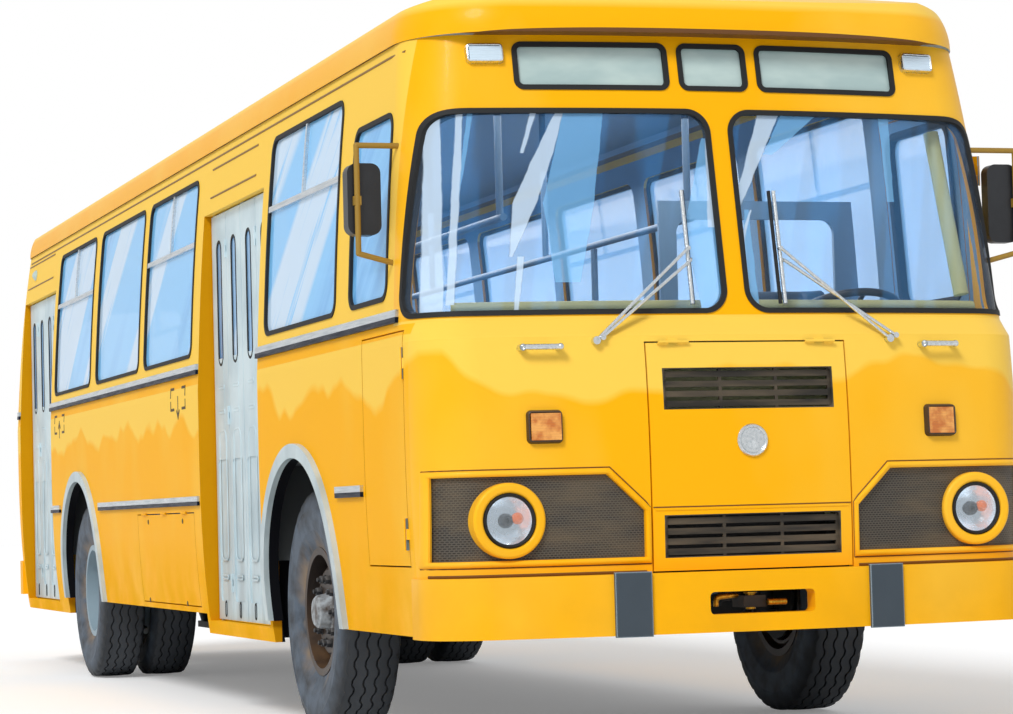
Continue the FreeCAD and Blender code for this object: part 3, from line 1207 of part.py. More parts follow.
def main():
    right, left, hatch, flap, driver_door = make_sides()
    save("right_side", right)
    save("left_side", left)
    save("front_hatch", hatch)
    save("side_flap", flap)
    save("driver_door", driver_door)
    mask, hood, hinge_s, hinge_z = make_front()
    print("hood hinge s %.1f z %.1f" % (hinge_s, hinge_z))
    print("hatch hinge x %.1f" % hinge_x(HATCH[0], *HATCH[2:]))
    print("driver door hinge x %.1f" % hinge_x(DRIVER_DOOR[0], *DRIVER_DOOR[2:]))
    print("flap hinge x %.1f" % (surface_x(FLAP[0], FLAP[3]) + PANEL_OUT))
    save("front_panel", mask)
    save("hood", hood)
    save("lamp_grilles", *make_recess_grilles())
    bezels, lenses = make_headlamps()
    save("headlamp_bezels", *bezels)
    save("headlamp_lenses", *lenses)
    save("small_lamps", *make_small_lamps())
    save("windscreen_frame", make_windscreen_frame())
    save("rear_wall", make_rear_wall())
    seals, right_panes, left_panes, screens, signs = make_glass()
    save("window_seals", seals)
    save("window_glass", right_panes, left_panes)
    save("screen_glass", screens)
    save("sign_glass", signs)
    save("bright_trim", *make_vent_frames(), *make_mouldings())
    save("roof", make_roof())
    save("arch_trims", *make_arch_trims())
    save("bumpers", *make_bumpers())
    save("bumper_guards", *make_guards())
    for door, s0 in DOORS.items():
        for k, leaf in enumerate(door_leaves(s0)):
            save("%s_leaf_%d" % (door, k + 1), leaf)
    save("floor", *make_floor())
    save("chassis", *make_chassis())
    save("drivetrain", *make_drivetrain())
    save("tie_rod", make_tie_rod())
    for name, side in (("left", 1), ("right", -1)):
        x = side * FRONT_TRACK / 2
        save("front_tyre_" + name, tyre(V(x, y(FRONT_AXLE_S), TYRE_R)))
        save("front_wheel_" + name, *front_wheel(side))
        save("knuckle_" + name, knuckle(side))
        twins = [side * (REAR_TRACK / 2 + k * TWIN_PITCH / 2) for k in (-1, 1)]
        save("rear_tyres_" + name, *[tyre(V(x, y(REAR_AXLE_S), TYRE_R)) for x in twins])
        save("rear_wheel_" + name, *rear_wheel(side))
    save("front_axle", *make_front_axle())
    save("rear_axle", *make_rear_axle())
    save("air_springs", *make_bellows())
    save("underbody", *make_underbody())
    pads, frames = make_seats()
    driver_pads, driver_base = make_driver_seat()
    save("seat_pads", *pads, *driver_pads)
    save("seat_frames", *frames, driver_base)
    save("cab_fittings", make_dashboard(), make_engine_cover(), make_partition(), *make_bulkhead())
    save("steering_wheel", make_steering_wheel())
    save("handrails", *make_handrails())
    save("wipers", *make_wipers())
    save("grab_handles", *make_grab_handles())
    left_mirror, right_mirror = make_mirrors()
    save("mirror_arms", left_mirror[0], right_mirror[0])
    save("mirror_heads", left_mirror[1], right_mirror[1])


main()
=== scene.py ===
# %% [markdown]
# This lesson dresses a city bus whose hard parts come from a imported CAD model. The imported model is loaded
# first and stays fixed, because every new piece is measured against it. All sizes are metres: +Z is up, the
# front faces -Y and the passenger doors are at -X.
# %% The frame and the tools
import math

import bmesh
import bpy
from mathutils import Matrix, Vector
from mathutils.bvhtree import BVHTree


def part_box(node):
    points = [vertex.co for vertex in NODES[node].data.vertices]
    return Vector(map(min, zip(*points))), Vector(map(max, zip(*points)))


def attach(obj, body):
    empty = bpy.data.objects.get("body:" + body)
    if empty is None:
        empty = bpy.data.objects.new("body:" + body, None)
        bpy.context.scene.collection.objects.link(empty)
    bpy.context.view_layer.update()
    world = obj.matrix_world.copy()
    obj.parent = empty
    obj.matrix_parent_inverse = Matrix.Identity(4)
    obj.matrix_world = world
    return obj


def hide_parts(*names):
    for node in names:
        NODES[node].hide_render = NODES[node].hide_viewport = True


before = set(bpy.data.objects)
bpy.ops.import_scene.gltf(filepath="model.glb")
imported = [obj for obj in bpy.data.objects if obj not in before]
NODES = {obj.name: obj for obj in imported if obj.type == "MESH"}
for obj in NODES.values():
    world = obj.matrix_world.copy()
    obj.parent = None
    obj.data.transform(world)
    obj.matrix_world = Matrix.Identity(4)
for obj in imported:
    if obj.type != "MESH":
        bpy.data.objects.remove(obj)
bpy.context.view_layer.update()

# %% [markdown]
# Distances along a bus are easiest to say from the front bumper, as a coachbuilder does. `at` turns such a
# distance into a point of the frame, and `skin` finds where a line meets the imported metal, so a fitting can be
# put on the real surface. Many fittings come in pairs, so the two sides have a sign and a name.
# %% Places on the body
HALF_LENGTH = 5.25
MM = 0.001
SIDES = ((-1, "right"), (1, "left"))


def at(x, s, z):
    return Vector((x, s - HALF_LENGTH, z))


TREES = {}


def skin(node, start, direction):
    """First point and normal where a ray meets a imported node."""
    if node not in TREES:
        mesh = NODES[node].data
        TREES[node] = BVHTree.FromPolygons([v.co for v in mesh.vertices], [p.vertices for p in mesh.polygons])
    point, normal, *_ = TREES[node].ray_cast(start, direction)
    return point, normal


def front_skin(node, x, z):
    return skin(node, at(x, -0.5, z), Vector((0, 1, 0)))


def side_skin(node, side, s, z):
    return skin(node, at(side * 2, s, z), Vector((-side, 0, 0)))


print("front bumper at", at(0, 0, 0)[:])

# %% [markdown]
# A picture is a camera first. The drawing's own perspective gives a low eye, about fifteen metres away and to the
# bus's right, with a long lens. The camera leans a little, as the drawing does, so its axes are built
# from three turns.
# %% Camera
CAMERA_PLACE = Vector((-4.2859, -15.5071, 0.9186))
YAW, PITCH, ROLL = 0.3117, 0.0528, -0.0268
FOCAL_LENGTH = 105.32

forward = Vector((math.sin(YAW) * math.cos(PITCH), math.cos(YAW) * math.cos(PITCH), math.sin(PITCH)))
level = Vector((math.cos(YAW), -math.sin(YAW), 0))
upward = level.cross(forward)
right = level * math.cos(ROLL) + upward * math.sin(ROLL)
top = upward * math.cos(ROLL) - level * math.sin(ROLL)
camera = bpy.data.objects.new("camera", bpy.data.cameras.new("camera"))
camera.matrix_world = Matrix.Translation(CAMERA_PLACE) @ Matrix((right, top, -forward)).transposed().to_4x4()
camera.data.lens = FOCAL_LENGTH
camera.data.sensor_width = 36
camera.data.clip_end = 500
bpy.context.scene.collection.objects.link(camera)
bpy.context.scene.camera = camera
print("camera looks along", [round(v, 3) for v in forward])

# %% [markdown]
# Colours are written as sRGB hex, as a paint chart gives them, and one function turns them linear for the
# shaders. One function adds every node with its settings and links. A finish starts from the Principled shader
# with the typical values of its material, and can be opened again to lay another coat over it.
# %% Colour and node helpers


def linear(hexa):
    """sRGB hex to the linear colour that a shader works in."""
    parts = [int(hexa[k:k + 2], 16) / 255 for k in (1, 3, 5)]
    return [c / 12.92 if c <= 0.04045 else ((c + 0.055) / 1.055) ** 2.4 for c in parts] + [1.0]


def fill(node, name, value):
    """Fills one socket, named or numbered, with a link, a hex colour or a value."""
    if isinstance(value, bpy.types.NodeSocket):
        node.id_data.links.new(value, node.inputs[name])
    else:
        node.inputs[name].default_value = linear(value) if isinstance(value, str) else value


def add(tree, kind, inputs=(), out=0, **settings):
    """Adds a node and gives one of its outputs, or all of them where out is None. settings are the node's own
    options, and inputs fill its sockets in order or by name."""
    node = tree.nodes.new("ShaderNode" + kind)
    for name, value in settings.items():
        setattr(node, name, value)
    for name, value in (inputs.items() if isinstance(inputs, dict) else enumerate(inputs)):
        fill(node, name, value)
    return node.outputs if out is None else node.outputs[out]


def plug(shader, **sockets):
    """Fills sockets of a shader; a space in a socket's name is written as an underscore."""
    for name, value in sockets.items():
        fill(shader, name.replace("_", " "), value)


def finish(name, colour, roughness, **sockets):
    """Starts a finish: its material, node tree, shader and the coordinates fixed to the piece."""
    material = bpy.data.materials.new(name)
    material.use_nodes = True
    tree = material.node_tree
    shader = tree.nodes["Principled BSDF"]
    plug(shader, Base_Color=colour, Roughness=roughness, **sockets)
    return material, tree, shader, add(tree, "TexCoord", out="Object")


def reopen(material):
    """A finish opened again: its tree, shader and coordinates, and the colour that it has so far."""
    tree = material.node_tree
    shader = tree.nodes["Principled BSDF"]
    place = tree.nodes["Texture Coordinate"].outputs["Object"]
    return tree, shader, place, shader.inputs["Base Color"].links[0].from_socket


print("node helpers ready")

# %% [markdown]
# Wear is drawn through masks, which are 1 where something shows and 0 where it doesn't. They are multiplied where
# all must hold, the highest counts where any may, and colours are laid through them like coats of paint.
# %% Masks and coats


def product(tree, mask, *others):
    """Masks or shares multiplied together."""
    for other in others:
        mask = add(tree, "Math", [mask, other], operation="MULTIPLY")
    return mask


def highest(tree, mask, *others):
    """1 where any of the masks is 1."""
    for other in others:
        mask = add(tree, "Math", [mask, other], operation="MAXIMUM")
    return mask


def between(tree, value, low, high):
    """1 where a value lies between two limits."""
    above = add(tree, "Math", [value, low], operation="GREATER_THAN")
    return product(tree, above, add(tree, "Math", [value, high], operation="LESS_THAN"))


def patches(tree, place, size, low, high, detail=3.0, stretch=(1, 1, 1), rough=0.55):
    """A soft mask of blotches about `size` metres across."""
    scaled = add(tree, "VectorMath", [place, stretch], operation="MULTIPLY")
    noise = add(tree, "TexNoise", {"Vector": scaled, "Scale": 1 / size, "Detail": detail, "Roughness": rough})
    return add(tree, "MapRange", [noise, low, high])


def coats(tree, colour, *layers):
    """Colours laid over each other. Each layer is a mask and the colour that shows where it is 1."""
    for mask, over in layers:
        colour = add(tree, "Mix", {0: mask, 6: colour, 7: over}, out=2, data_type="RGBA")
    return colour


print("mask helpers ready")

# %% [markdown]
# The body is sheet steel under alkyd enamel, sprayed and stoved. Alkyd stays a little soft-looking, so it has a
# broad gloss under a thin hard coat. A painted highlight pales the panels below the windows down to a ragged edge,
# with paler blotches that are partly faded paint and partly painted sheen, and road film gathers low down. The lining
# inside is a pale grey-blue enamel, so faces that look inward take that colour, and the underside and lower edge of
# the roof's overhang are painted brown as shade.
# %% Places of the body's colours
AMBER = "#FFB703"
FADE_AND_HIGHLIGHT = "#FFD75C"
ROAD_FILM = "#D59A1C"
LINING = "#7FA0BE"
SOFFIT_SHADE = "#6E4A2C"
PEAK_EDGE = 2.762
JAMB_SHADE = "#D0900C"
ARCH_BLACK = "#15161A"
WAIST = 1.650
AXLES = {"front": (2.16, 0.52), "rear": (7.70, 0.52)}
ARCH_R, ARCH_Z = 0.632, 0.552
WHEEL_BOX = (1.17, 0.80, 0.45)
INWARD = {"side": (1.0, 0.0, 0.0), "end": (0.0, 1.0, 0.0), "roof": (0.0, 0.0, 1.0)}


def inner_face(tree, place, panel):
    """1 on faces that look into the bus: the normal points back towards the bus's middle along the panel's own axis."""
    normal = add(tree, "NewGeometry", out="True Normal")
    away, facing = (add(tree, "VectorMath", [vector, INWARD[panel]], out="Value", operation="DOT_PRODUCT")
                    for vector in (place, normal))
    return add(tree, "Math", [product(tree, away, facing), -0.3], operation="LESS_THAN")


def arch_mask(tree, place):
    """1 inside the wheel arches: under the round, and in the box that holds each wheel."""
    masks = []
    for s, _ in AXLES.values():
        offset = add(tree, "VectorMath", [place, (0, s - HALF_LENGTH, ARCH_Z)], operation="SUBTRACT")
        x, y, z = add(tree, "SeparateXYZ", [offset], out=None)
        round_part = add(tree, "CombineXYZ", [0.0, y, add(tree, "Math", [z, 0.0], operation="MAXIMUM")])
        reach = add(tree, "VectorMath", [round_part], out="Value", operation="LENGTH")
        masks.append(add(tree, "Math", [reach, ARCH_R], operation="LESS_THAN"))
        wide, long = (add(tree, "Math", [part], operation="ABSOLUTE") for part in (x, y))
        masks.append(product(tree, *[add(tree, "Math", [part, limit], operation="LESS_THAN")
                                     for part, limit in zip((wide, long, z), WHEEL_BOX)]))
    return highest(tree, *masks)


def outside_walls(tree, x, y):
    """1 where the roof stands out over the side walls and the front."""
    beside = add(tree, "Math", [add(tree, "Math", [x], operation="ABSOLUTE"), 1.125], operation="GREATER_THAN")
    return highest(tree, beside, add(tree, "Math", [y, -4.83], operation="LESS_THAN"))


def jamb_faces(tree):
    """1 on faces that look along the bus, as the door jambs do."""
    normal = add(tree, "NewGeometry", out="True Normal")
    along = add(tree, "VectorMath", [normal, (0.0, 1.0, 0.0)], out="Value", operation="DOT_PRODUCT")
    return add(tree, "Math", [add(tree, "Math", [along], operation="ABSOLUTE"), 0.9], operation="GREATER_THAN")


def peak_shade_band(tree, x, y, z):
    """1 on the lower edge of the roof's peak, which drops towards the sides; brown is painted there as shade."""
    drop = add(tree, "Math", [add(tree, "Math", [x], operation="ABSOLUTE"), 4.0], operation="POWER")
    raised = add(tree, "Math", [drop, 0.022, z], operation="MULTIPLY_ADD")
    under = add(tree, "Math", [raised, PEAK_EDGE], operation="LESS_THAN")
    return product(tree, under, add(tree, "Math", [y, -4.7], operation="LESS_THAN"))


print("places ready, axles", AXLES)

# %% [markdown]
# The panels share one enamel, but each has its own faded places and painted light and shade: the sides have a painted
# highlight in two bands and painted shade in the door jambs, the roof has a painted highlight on top and painted brown
# shade under its peak, and black fills the wheel arches.
# %% Body enamel


# A painted highlight: a ragged band below the windows, the sides above the windows and the top of the roof.
def highlight_band_mask(tree, place, z, panel):
    if panel == "roof":
        return add(tree, "MapRange", [z, 2.84, 2.87])
    ragged = patches(tree, place, 0.42, 0.3, 0.7, detail=2.0, stretch=(1, 1, 0.4), rough=0.4)
    edge = add(tree, "Math", [ragged, 0.20, z], operation="MULTIPLY_ADD")
    upper_limit = add(tree, "Math", [z, 1.60 if panel == "side" else WAIST], operation="LESS_THAN")
    band = product(tree, add(tree, "MapRange", [edge, 1.50, 1.54]), upper_limit)
    return highest(tree, band, add(tree, "Math", [z, 1.69], operation="GREATER_THAN")) if panel == "side" else band


def body_enamel(name, panel=None):
    gloss = {"Specular_IOR_Level": 0.12, "Coat_Weight": 0.05, "Coat_Roughness": 0.08}
    if panel == "side":
        gloss = {"Specular_IOR_Level": 0.02}
    material, tree, shader, place = finish(name, AMBER, 0.4, **gloss)
    x, y, z = add(tree, "SeparateXYZ", [place], out=None)
    # Random pale blotches, partly faded paint and partly painted sheen.
    fade_and_sheen = patches(tree, place, 0.9, 0.46, 0.78, stretch=(1, 1, 0.6))
    pale = highest(tree, product(tree, highlight_band_mask(tree, place, z, panel), 0.8), product(tree, fade_and_sheen, 0.5))
    low = product(tree, add(tree, "MapRange", [z, 0.85, 0.42]), patches(tree, place, 0.25, 0.3, 0.75, detail=5.0))
    colour = coats(tree, AMBER, (pale, FADE_AND_HIGHLIGHT), (product(tree, low, 0.5), ROAD_FILM))
    if panel == "side":
        # Faces that look along the bus, as in the door jambs, are painted darker as shade.
        colour = coats(tree, colour, (jamb_faces(tree), JAMB_SHADE))
    if panel:
        # Downward faces of the overhang, outside the walls, are painted brown as shade.
        lining = coats(tree, LINING, (outside_walls(tree, x, y), SOFFIT_SHADE)) if panel == "roof" else LINING
        colour = coats(tree, colour, (inner_face(tree, place, panel), lining))
    if panel == "roof":
        # The peak's lower edge is painted brown as shade.
        colour = coats(tree, colour, (peak_shade_band(tree, x, y, z), SOFFIT_SHADE))
    if panel == "side":
        # Black inside the wheel arches and the boxes that hold the wheels.
        colour = coats(tree, colour, (arch_mask(tree, place), ARCH_BLACK))
    grain = patches(tree, place, 0.004, 0.3, 0.7, detail=1.0)
    plug(shader, Base_Color=colour, Roughness=add(tree, "MapRange", [low, -0.8, 1.4]),
         Normal=add(tree, "Bump", {"Height": grain, "Distance": 0.0002, "Strength": 0.25}))
    return material


SIDE_BODY = body_enamel("body_enamel_amber_side", "side")
END_BODY = body_enamel("body_enamel_amber_end", "end")
ROOF_BODY = body_enamel("body_enamel_amber_roof", "roof")
PLAIN_BODY = body_enamel("fittings_enamel_amber")
print("body enamel ready")

# %% [markdown]
# The doors and arch trims wear the same kind of paint in pale blue-grey. Hands and shoes rub the doors, so
# fine scuffs dull them and the lower part is greyer.
# %% Door and trim enamel


def pale_enamel(name, colour, shade):
    material, tree, shader, place = finish(name, colour, 0.4, Coat_Weight=0.2, Coat_Roughness=0.2)
    height = add(tree, "SeparateXYZ", [place], out="Z")
    runs = patches(tree, place, 0.18, 0.35, 0.7, detail=5.0, stretch=(1, 1, 0.3))
    grime = product(tree, add(tree, "MapRange", [height, 1.5, 0.4]), runs)
    worn = patches(tree, place, 0.3, 0.4, 0.7)
    grain = patches(tree, place, 0.005, 0.3, 0.7)
    plug(shader, Base_Color=coats(tree, colour, (worn, shade), (grime, "#8D989B")),
         Normal=add(tree, "Bump", {"Height": grain, "Distance": 0.0002, "Strength": 0.2}))
    return material


DOOR = pale_enamel("door_enamel_blue_grey", "#CFE3EA", "#B4CCD6")
ARCH = pale_enamel("arch_enamel_pale_grey", "#CDDDE1", "#AFC2C8")
print("pale enamels ready")

# %% [markdown]
# Mouldings are drawn aluminium with their lower half painted dark navy as shade under the lit top, and the small
# fittings are chromed steel. A metal's colour is its reflection, so these are metallic with a low roughness; the
# aluminium is brushed along its length and the chrome is clouded by fine pitting.
# %% Bright metals
SHADED_SPANS = [(1.645, 1.672), (0.995, 1.020)]


def bright_metal(name, colour, roughness, cloud, grain=(1, 1, 1), size=0.01):
    material, tree, shader, place = finish(name, colour, roughness, Metallic=1.0)
    mask = patches(tree, place, size, 0.35, 0.7, detail=4.0, stretch=grain)
    plug(shader, Base_Color=coats(tree, colour, (mask, cloud)),
         Roughness=add(tree, "MapRange", [mask, -roughness * 4, 3.2]),
         Normal=add(tree, "Bump", {"Height": mask, "Distance": 0.0001, "Strength": 0.3}))
    return material


CHROME = bright_metal("chromed_steel", "#E6EAEC", 0.12, "#C4CBCF")
BRASS = bright_metal("lacquered_brass", "#D9A93A", 0.3, "#8C6A24")
TRIM = bright_metal("drawn_aluminium_with_painted_shade", "#E6EBEE", 0.28, "#C4CCD1", grain=(1, 0.05, 1))
# The lower half of each moulding is painted dark navy as shade under its lit top.
tree, shader, place, metal = reopen(TRIM)
height = add(tree, "SeparateXYZ", [place], out="Z")
rubber = highest(tree, *[between(tree, height, low, high) for low, high in SHADED_SPANS])
plug(shader, Base_Color=coats(tree, metal, (rubber, "#101A2C")), Specular_IOR_Level=0.08,
     Metallic=add(tree, "Math", [1.0, rubber], operation="SUBTRACT"))
print("bright metals ready")

# %% [markdown]
# Underneath, everything is steel in black bitumen paint with road dust on it, and the castings are bare and
# dull. Dust settles on faces that look up, so the colour follows the normal. The bumper's rubber guards have a
# painted highlight along their rounded edges.
# %% Chassis paint, castings and dust
DUST_SHARE = 0.55
EDGE_RADIUS = 10 * MM


def dusty(name, colour, dust, roughness, metallic=0.0):
    material, tree, shader, place = finish(name, colour, roughness, Metallic=metallic)
    up = add(tree, "SeparateXYZ", [add(tree, "NewGeometry", out="Normal")], out="Z")
    lying = patches(tree, place, 0.12, 0.25, 0.75, detail=6.0)
    settled = product(tree, add(tree, "MapRange", [up, -0.4, 1.0]), lying, DUST_SHARE)
    pits = patches(tree, place, 0.02, 0.3, 0.7, detail=5.0)
    plug(shader, Base_Color=coats(tree, colour, (settled, dust)),
         Normal=add(tree, "Bump", {"Height": pits, "Distance": 0.0006, "Strength": 0.4}))
    return material


def highlighted_edges(material, pale):
    """Rounds a piece's sharp edges in the shader and paints a paler highlight on them."""
    tree, shader, place, colour = reopen(material)
    rounded = add(tree, "Bevel", {"Radius": EDGE_RADIUS}, samples=8)
    flat = add(tree, "NewGeometry", out="True Normal")
    agreed = add(tree, "VectorMath", [rounded, flat], out="Value", operation="DOT_PRODUCT")
    fill(shader.inputs["Normal"].links[0].from_node, "Normal", rounded)
    plug(shader, Base_Color=coats(tree, colour, (add(tree, "MapRange", [agreed, 0.99, 0.85]), pale)))
    return material


CHASSIS = dusty("bitumen_black_steel", "#1A1B1E", "#6A6258", 0.6)
CASTING = dusty("bare_cast_iron", "#3A3B3E", "#6E655A", 0.55, metallic=0.6)
WHEEL_BROWN = dusty("wheel_enamel_brown_black", "#2B2421", "#8A6744", 0.42)
MIRROR_SHELL = dusty("moulded_black_abs", "#17191D", "#4A4E55", 0.38)
MIRROR_ARM = dusty("mirror_arm_enamel_olive", "#A07C26", "#6E5C2A", 0.5)
FLOOR = dusty("ribbed_floor_linoleum", "#4E5356", "#7B7D7C", 0.6)
GUARD = highlighted_edges(dusty("moulded_bumper_rubber", "#34404A", "#4C5964", 0.5), "#93A5B2")
SEAL = dusty("extruded_window_rubber", "#090B0D", "#1C2024", 0.7)
SEAT_TUBE = dusty("tube_enamel_slate_blue", "#4F6C88", "#7C95AA", 0.4)
print("dusty finishes ready")

# %% [markdown]
# Tyres are black carbon rubber, but on a dry road the sidewalls turn blue-grey and the tread is scrubbed paler.
# The distance from the axle tells tread from sidewall, so the finish reads how far each point is from the wheel's
# own axle.
# %% Tyre rubber
TYRE_BANDS = ((0.513, 0.52), (0.505, 0.44), (0.36, 0.29))


def from_axle(tree, place, axle):
    """The distance of a point from an axle's line."""
    s, z = AXLES[axle]
    offset = add(tree, "VectorMath", [place, (0, s - HALF_LENGTH, z)], operation="SUBTRACT")
    flat = add(tree, "VectorMath", [offset, (0.0, 1.0, 1.0)], operation="MULTIPLY")
    return add(tree, "VectorMath", [flat], out="Value", operation="LENGTH")


def tyre_rubber(axle):
    material, tree, shader, place = finish("tyre_rubber_" + axle, "#24282D", 0.62)
    radius = from_axle(tree, place, axle)
    tread, wall, foot = (add(tree, "MapRange", [radius, start, end]) for start, end in TYRE_BANDS)
    dust = product(tree, wall, patches(tree, place, 0.09, 0.25, 0.6, detail=5.0))
    mud = product(tree, foot, patches(tree, place, 0.14, 0.4, 0.62))
    grain = patches(tree, place, 0.006, 0.3, 0.7, detail=4.0)
    plug(shader, Base_Color=coats(tree, "#22262B", (tread, "#3D4248"), (dust, "#525E6C"), (mud, "#7B6A58")),
         Normal=add(tree, "Bump", {"Height": grain, "Distance": 0.0004, "Strength": 0.5}))
    return material


TYRE = {axle: tyre_rubber(axle) for axle in AXLES}
print("tyre rubber ready")

# %% [markdown]
# Wheel discs share the brown-black enamel. The hubs are painted pale grey in the middle as a highlight, and the
# rims of the rear wheels were painted pale, so both are rings round the axle.
# %% Wheel paint


def wheel_paint(axle):
    material = WHEEL_BROWN.copy()
    material.name = "wheel_enamel_" + axle
    tree, shader, place, colour = reopen(material)
    radius = from_axle(tree, place, axle)
    hub = add(tree, "Math", [radius, 0.095], operation="LESS_THAN")
    # The pale grey blotches on the hub are a painted highlight.
    layers = [(product(tree, hub, patches(tree, place, 0.05, 0.3, 0.6)), "#A9B0B5")]
    if axle == "rear":
        layers.append((add(tree, "Math", [radius, 0.205], operation="GREATER_THAN"), "#93A8B4"))
    plug(shader, Base_Color=coats(tree, colour, *layers))
    return material


WHEELS = {axle: wheel_paint(axle) for axle in AXLES}
print("wheel paint ready")

# %% [markdown]
# The windows are tempered glass, tinted blue, with pale slanting streaks painted on as reflections and deeper blue
# patches painted on as shade. A thin pane does not bend light, so it is mixed from a clear part and a tinted glossy
# part through the shader's alpha. A pane is clearer to look out of than into, so its inner face is thinner; that
# face is also painted a paler blue and given a painted glow, which stand in for the daylight that it passes on.
# %% Window glass
PANE_BLUE = "#84CCFF"
PANE_REFLECTION = "#D6E9FA"
PANE_SHADE = "#64ACEA"


def glass_sheet(tree, place, blue, pale, deep, alpha, streak_alpha, pitch, cover=0.56, lean=-0.42):
    """Colour and opacity of a tinted pane with slanting streaks of painted reflection and patches of painted shade.
    pitch is the usual distance between two.
    """
    x, y, z = add(tree, "SeparateXYZ", [place], out=None)
    along = add(tree, "Math", [x, y], operation="SUBTRACT")
    slant = add(tree, "Math", [z, lean, along], operation="MULTIPLY_ADD")
    lines = add(tree, "CombineXYZ", [slant, product(tree, z, 0.12)])
    wide = add(tree, "TexNoise", {"Vector": lines, "Scale": 1 / pitch, "Detail": 1.0})
    fine = add(tree, "TexNoise", {"Vector": lines, "Scale": 6 / pitch, "Detail": 3.0, "Roughness": 0.7})
    streak, shade = (
        product(tree, add(tree, "MapRange", [wide, *broad]), add(tree, "MapRange", [fine, *narrow]))
        for broad, narrow in (((cover, cover + 0.04), (0.36, 0.46)), ((0.46, 0.38), (0.3, 0.6))))
    # Deep patches are painted shade, and pale streaks are painted reflections.
    colour = coats(tree, blue, (product(tree, shade, 0.75), deep), (product(tree, streak, 0.85), pale))
    return colour, add(tree, "MapRange", {"Value": streak, "To Min": alpha, "To Max": streak_alpha})


def inner_side(tree, place):
    """1 on a pane's inner face and on the back of its outer face."""
    geometry = add(tree, "NewGeometry", out=None)
    outward = add(tree, "VectorMath", [place, geometry["True Normal"]], out="Value", operation="DOT_PRODUCT")
    inner = add(tree, "Math", [outward, 0.0], operation="LESS_THAN")
    return highest(tree, inner, geometry["Backfacing"])


def window_glass(name, **sheet):
    material, tree, shader, place = finish(name, PANE_BLUE, 0.06, IOR=1.52, Specular_IOR_Level=0.2)
    colour, opacity = glass_sheet(tree, place, **sheet)
    inner = inner_side(tree, place)
    # The inner face is painted a paler blue and glows: painted light for the daylight passed on.
    plug(shader, Base_Color=coats(tree, colour, (inner, "#9AD2FF")),
         Alpha=add(tree, "Mix", {0: inner, 2: opacity, 3: 0.46}),
         Emission_Color="#A8D6FF", Emission_Strength=product(tree, inner, 0.6))
    return material


SIDE_GLASS = window_glass("tinted_side_glass", blue=PANE_BLUE, pale=PANE_REFLECTION, deep=PANE_SHADE, alpha=0.9,
                          streak_alpha=0.96, pitch=0.9, cover=0.54, lean=-1.3)
print("window glass ready")

# %% [markdown]
# The windscreen is seen through, so its marks matter more. They are laid out one by one: each runs straight from a
# place on the upper edge to a place lower down, and has a half width at both ends. Pale ones are painted
# reflections, and mid ones are fainter painted reflections between them.
# %% Streaks on the windscreen
PALE_STREAKS = [(-1.101, 0.026, 2.46, -1.163, 0.036, 1.66), (-1.008, 0.013, 2.46, -1.102, 0.016, 1.70),
                (-0.725, 0.013, 2.45, -0.788, 0.007, 2.28), (-0.620, 0.013, 2.46, -0.698, 0.034, 2.291),
                (-0.698, 0.034, 2.291, -0.793, 0.046, 2.086), (-0.793, 0.046, 2.086, -0.864, 0.007, 1.88),
                (-0.826, 0.014, 1.88, -0.862, 0.009, 1.67), (0.223, 0.046, 2.45, 0.036, 0.014, 2.05),
                (0.102, 0.004, 2.06, 0.040, 0.012, 1.90), (-0.050, 0.006, 2.34, -0.056, 0.028, 1.99)]
MID_STREAKS = [(-0.532, 0.078, 2.46, -0.625, 0.100, 2.085), (-0.625, 0.100, 2.085, -0.655, 0.050, 1.78),
               (-0.967, 0.012, 2.45, -1.048, 0.006, 2.10), (-0.060, 0.012, 2.34, -0.110, 0.070, 1.99),
               (-0.110, 0.070, 1.99, -0.080, 0.060, 1.67), (0.357, 0.080, 2.45, 0.200, 0.020, 2.28),
               (0.085, 0.010, 2.06, 0.065, 0.030, 1.68), (0.728, 0.024, 2.45, 0.715, 0.016, 2.10)]


def streak_mask(tree, across, height, streaks):
    """1 inside the streaks. Each is x, half width and z above, then the same below."""
    masks = []
    for x_top, half_top, z_top, x_low, half_low, z_low in streaks:
        middle = add(tree, "MapRange", [height, z_low, z_top, x_low, x_top])
        half = add(tree, "MapRange", [height, z_low, z_top, half_low, half_top])
        off = add(tree, "Math", [add(tree, "Math", [across, middle], operation="SUBTRACT")], operation="ABSOLUTE")
        past_edge = add(tree, "Math", [off, half], operation="SUBTRACT")
        inside = add(tree, "MapRange", [past_edge, 0.002, -0.003])
        masks.append(product(tree, inside, between(tree, height, z_low, z_top)))
    return highest(tree, *masks)


print("streaks", len(PALE_STREAKS), "pale and", len(MID_STREAKS), "mid")

# %% [markdown]
# The glass under the streaks is a deep blue crossed by slanting slate bands of painted shade, and the streaks' edges
# waver.
# %% Windscreen glass
SCREEN_BLUE = "#3F74A6"
SCREEN_GLASS, tree, shader, place = finish("tinted_windscreen_glass", SCREEN_BLUE, 0.06, IOR=1.52,
                                           Specular_IOR_Level=0.2)
x, y, z = add(tree, "SeparateXYZ", [place], out=None)
waver = add(tree, "MapRange", [patches(tree, place, 0.05, 0.2, 0.8, stretch=(1, 1, 0.4)), 0.0, 1.0, -0.004, 0.004])
across = add(tree, "Math", [x, waver], operation="ADD")
in_front = add(tree, "Math", [y, 0.0], operation="LESS_THAN")
pale, mid = (product(tree, streak_mask(tree, across, z, streaks), in_front) for streaks in (PALE_STREAKS, MID_STREAKS))
slant = add(tree, "Math", [z, -0.22, across], operation="MULTIPLY_ADD")
lines = add(tree, "CombineXYZ", [slant, product(tree, z, 0.1)])
slate = add(tree, "MapRange", [add(tree, "TexNoise", {"Vector": lines, "Scale": 5.0, "Detail": 2.0}), 0.48, 0.52])
alpha = add(tree, "MapRange", [mid, 0.0, 1.0, 0.40, 0.66])
